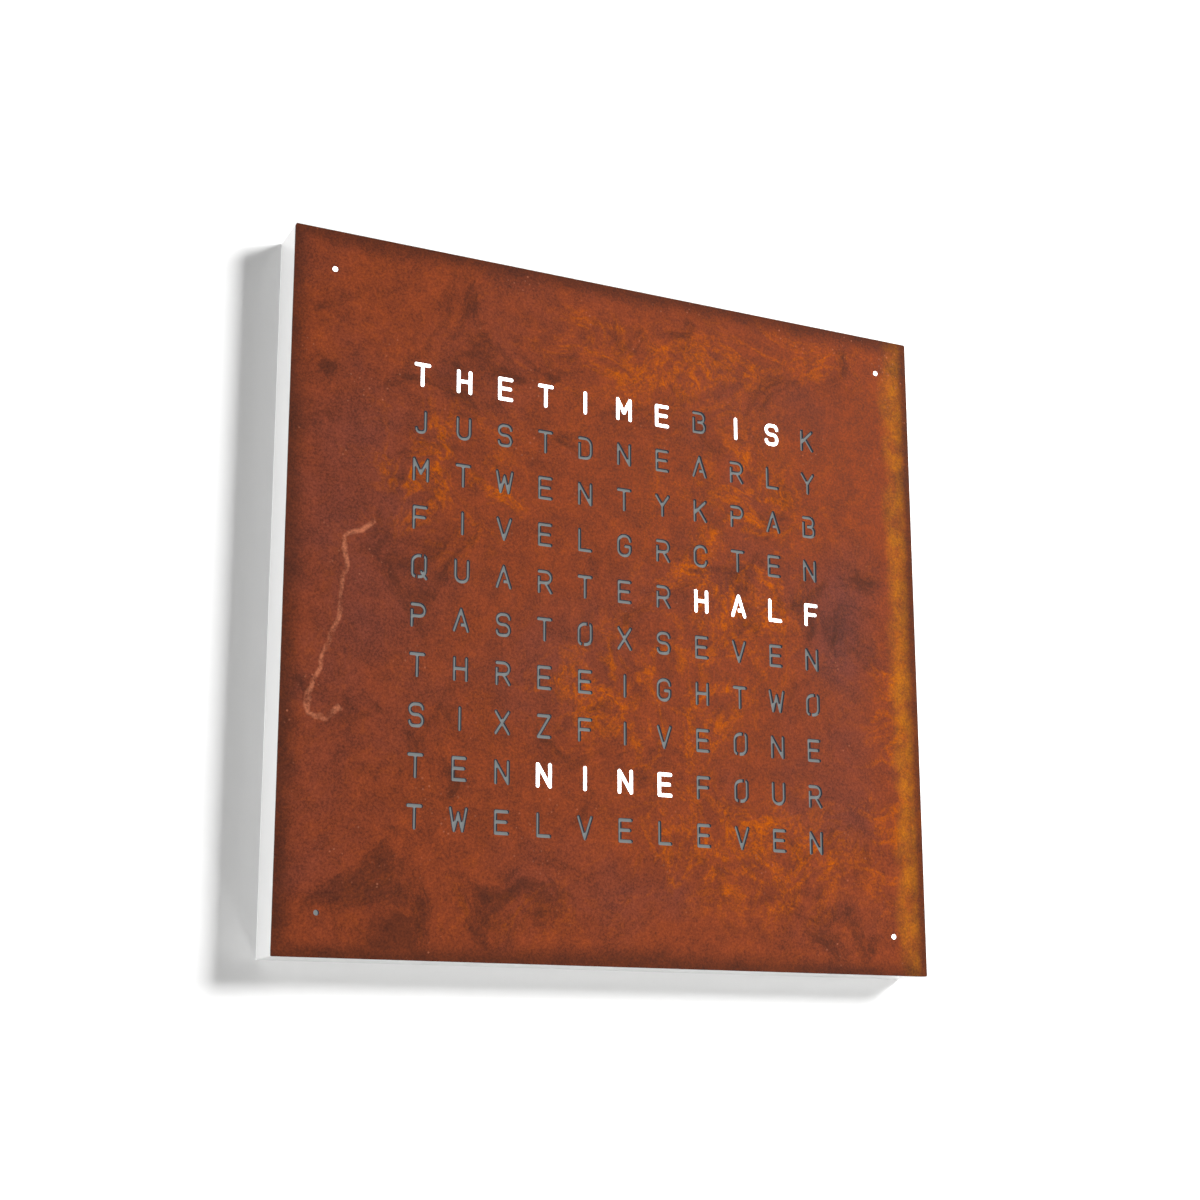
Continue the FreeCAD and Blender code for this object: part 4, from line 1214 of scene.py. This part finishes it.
@dataclass
class RearScrews:
    """The rear panel's screws: round heads with a cross recess, on plain shanks.

    Attributes:
        reach: from the middle to each screw, along X and Z.
        head: diameter of a head.
        shank: diameter of a shank.
        seat: how far the head's underside is from the wall.
        head_back: how far its outer face is.
        tip: how far the shank's end is.
        arm: half length of the cross recess.
        slot: half width of an arm.
        recess: depth of the recess.
        segments: sides of a head and of a shank.
    """

    reach: float = 205.0
    head: float = 5.6
    shank: float = 2.9
    seat: float = 2.0
    head_back: float = 0.8
    tip: float = 8.0
    arm: float = 1.7
    slot: float = 0.42
    recess: float = 0.8
    segments: int = 40

    def one_screw(self) -> tuple[Points, list[list[int]]]:
        """Works out one screw, in line with the origin.

        The outer face is a circle parted along the cross. The cross is laid again further in, and
        each edge between the two becomes a wall of the recess. The rest is rings of points from
        the head's outer face to the shank's tip.

        Returns:
            The points in millimetres, and the corner numbers of each face.
        """
        sides = self.segments
        angle = np.arange(sides) * 2 * math.pi / sides
        circle = np.stack([np.cos(angle), np.sin(angle)], axis=1)
        a, w = self.arm, self.slot
        cross = np.array([(w, w), (w, a), (-w, a), (-w, w), (-a, w), (-a, -w), (-w, -w), (-w, -a),
                          (w, -a), (w, -w), (a, -w), (a, w)])
        rim, stem = circle * self.head / 2, circle * self.shank / 2
        flat, parts, owners = cut_plane([rim, cross])
        inside = np.array([len(owned) > 1 for owned in owners])
        count = len(flat)
        recess_walls = border_walls(parts[inside], count)
        face = np.column_stack([flat[:, 0], np.full(count, -self.head_back), flat[:, 1]])
        floor = face - np.array([0.0, self.recess, 0.0])
        rings = [(rim, self.head_back), (rim, self.seat), (stem, self.seat), (stem, self.tip)]
        body = np.vstack([np.column_stack([ring[:, 0], np.full(sides, -at), ring[:, 1]])
                          for ring, at in rings])
        turn = np.arange(sides)
        after = (turn + 1) % sides
        starts = 2 * count + sides * np.arange(len(rings))
        bands = [np.stack([near + turn, near + after, far + after, far + turn], axis=1)
                 for near, far in zip(starts, starts[1:])]
        faces = (parts[~inside][:, ::-1].tolist() + (parts[inside][:, ::-1] + count).tolist()
                 + recess_walls[:, ::-1].tolist() + np.concatenate(bands).tolist()
                 + [list(starts[-1] + turn[::-1])])
        return np.vstack([face, floor, body]), faces

    def build(self, finishes: Finishes) -> bpy.types.Object:
        """Makes all four screws as one object.

        Args:
            finishes: the clock's finishes.

        Returns:
            The screws' object.
        """
        points, faces = self.one_screw()
        spots = [np.array([x, 0.0, z]) * self.reach for x in (-1, 1) for z in (-1, 1)]
        everything = np.vstack([points + spot for spot in spots])
        all_faces = [[corner + number * len(points) for corner in one]
                     for number in range(len(spots)) for one in faces]
        thing = new_mesh("rear_screws", everything * MM, all_faces)
        thing.data.materials.append(finishes.by_slot["bare_steel"])
        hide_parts("rear_panel_screws")
        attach(thing, "housing")
        return thing


@dataclass(frozen=True)
class Lamp:
    """A rectangular lamp that faces the clock and that the camera doesn't see.

    Attributes:
        name: its name.
        at: its place in metres.
        size: its sides in metres.
        power: its power in watts.
    """

    name: str
    at: tuple[float, float, float]
    size: tuple[float, float]
    power: float

    def hang(self) -> None:
        """Puts the lamp in the scene, turned to the clock's middle."""
        data = bpy.data.lights.new(self.name, "AREA")
        data.shape = "RECTANGLE"
        data.size, data.size_y = self.size
        data.energy = self.power
        thing = bpy.data.objects.new(self.name, data)
        bpy.context.scene.collection.objects.link(thing)
        thing.visible_camera = False
        thing.location = self.at
        thing.rotation_mode = "QUATERNION"
        thing.rotation_quaternion = (-Vector(self.at)).to_track_quat("-Z", "Y")


@dataclass
class Studio:
    """The wall behind the clock, the floor far below, the lamps and the camera.

    Attributes:
        camera_at: the camera's place in metres.
        forward: where it looks.
        up: its upward direction.
        lens: focal length for a sensor 36 mm wide.
        shift: how far the frame is shifted, in frame widths.
        wall_gap: how far the wall is behind the clock's back, in metres.
        wall_half: half the side of the wall and of the floor.
        wall_window: half the side of the wall's opening behind the clock.
        wall_sent: how much light the wall sends back.
        wall_seen: the same as the camera sees it.
        floor_level: the floor's Z.
        floor_colour: the floor's colour.
        surroundings: strength of the surroundings' light on the clock.
        lamps: the key lamp from the upper right, two that graze the left and lower sides, and one
            behind the clock.
    """

    camera_at: tuple[float, float, float] = (-0.5292, -1.1026, -0.3096)
    forward: tuple[float, float, float] = (0.4333, 0.8767, 0.2088)
    up: tuple[float, float, float] = (-0.0891, -0.1888, 0.978)
    lens: float = 57.45
    shift: tuple[float, float] = (-0.0208, 0.0817)
    wall_gap: float = 0.0004
    wall_half: float = 4.0
    wall_window: float = 0.2249
    wall_sent: float = 0.6
    wall_seen: float = 0.97
    floor_level: float = -1.3
    floor_colour: Colour = (0.82, 0.82, 0.81)
    surroundings: float = 0.09
    lamps: tuple[Lamp, ...] = (
        Lamp("key", (1.9, -2.25, 1.1), (1.0, 1.0), 142.0),
        Lamp("left_fill", (-1.4, -0.045, 0.0), (0.07, 1.6), 13.0),
        Lamp("low_fill", (0.3, -0.045, -1.2), (1.8, 0.07), 5.0),
        Lamp("back_fill", (-1.2, 2.6, 1.0), (2.0, 2.0), 80.0),
    )

    def build(self) -> None:
        """Sets up everything around the clock."""
        self.wall()
        self.floor()
        for lamp in self.lamps:
            lamp.hang()
        self.camera()
        self.world()

    def camera(self) -> None:
        """Places the camera where the photograph was taken from."""
        data = bpy.data.cameras.new("camera")
        data.sensor_width = 36.0
        data.lens = self.lens
        data.shift_x, data.shift_y = self.shift
        data.clip_start, data.clip_end = 0.02, 50.0
        eye = bpy.data.objects.new("camera", data)
        bpy.context.scene.collection.objects.link(eye)
        forward = Vector(self.forward).normalized()
        right = forward.cross(Vector(self.up)).normalized()
        upward = right.cross(forward)
        turn = Matrix((right, upward, -forward)).transposed()
        eye.matrix_world = Matrix.Translation(self.camera_at) @ turn.to_4x4()
        bpy.context.scene.camera = eye

    def wall(self) -> None:
        """The white wall that the clock hangs on, not there when seen from behind.

        The camera sees it a little lighter than the light it sends back, so that it is white
        where no shadow falls. It is open just behind the clock, which hides the opening from the
        front and is lit through it from behind.
        """
        half, low, gap, window = self.wall_half, self.floor_level, self.wall_gap, self.wall_window
        outer = [(-half, gap, low), (half, gap, low), (half, gap, half), (-half, gap, half)]
        inner = [(-window, gap, -window), (window, gap, -window), (window, gap, window),
                 (-window, gap, window)]
        sides = [(i, (i + 1) % 4, (i + 1) % 4 + 4, i + 4) for i in range(4)]
        sheet = new_mesh("wall", np.array(outer + inner), sides)
        b = Board("wall_paint")
        tree = b.tree
        tree.nodes.remove(b.shader)
        out = next(node for node in tree.nodes if node.type == "OUTPUT_MATERIAL")
        ray = b.node("LightPath", {}).outputs["Is Camera Ray"]
        seen = b.blend(ray, (self.wall_sent,) * 3, (self.wall_seen,) * 3)
        paint = b.node("BsdfDiffuse", {"Color": seen})
        clear = b.node("BsdfTransparent", {})
        behind = b.node("NewGeometry", {}).outputs["Backfacing"]
        both = b.node("MixShader", {0: behind, 1: paint.outputs[0], 2: clear.outputs[0]})
        tree.links.new(both.outputs[0], out.inputs["Surface"])
        sheet.data.materials.append(b.material)

    def floor(self) -> None:
        """The plain pale floor, far below the clock."""
        half, level = self.wall_half, self.floor_level
        corners = np.array([(-half, -half, level), (half, -half, level), (half, half, level),
                            (-half, half, level)])
        sheet = new_mesh("floor", corners, [(0, 1, 2, 3)])
        b = Board("floor_paint")
        b.put(Base_Color=self.floor_colour, Roughness=0.7)
        sheet.data.materials.append(b.material)

    def world(self) -> None:
        """Even white surroundings, pure white to the camera and to mirrors."""
        world = bpy.data.worlds.new("surroundings")
        bpy.context.scene.world = world
        world.use_nodes = True
        tree = world.node_tree
        background = tree.nodes["Background"]
        path = tree.nodes.new("ShaderNodeLightPath")
        level = tree.nodes.new("ShaderNodeMapRange")
        level.inputs["To Min"].default_value = self.surroundings
        level.inputs["To Max"].default_value = 1.0
        tree.links.new(path.outputs["Is Camera Ray"], level.inputs["Value"])
        tree.links.new(level.outputs[0], background.inputs["Strength"])
        background.inputs["Color"].default_value = (1.0, 1.0, 1.0, 1.0)


def main() -> None:
    """Builds the clock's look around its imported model."""
    logging.basicConfig(level=logging.INFO, format="%(name)s: %(message)s")
    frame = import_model()
    finishes = Finishes()
    finishes.build()
    finishes.dress_nodes(frame)
    log.info("dressed %d packed nodes", len(frame["nodes"]))
    builders: dict[str, Callable[[Finishes], bpy.types.Object]] = {
        "front sheet": FrontCover().build,
        "diffuser": DiffuserSheet().build,
        "rear screws": RearScrews().build,
    }
    for name, build in builders.items():
        thing = build(finishes)
        log.info("%s: %d faces", name, len(thing.data.polygons))
    Studio().build()
    bpy.context.scene.view_settings.view_transform = "Standard"


if __name__ == "__main__":
    main()
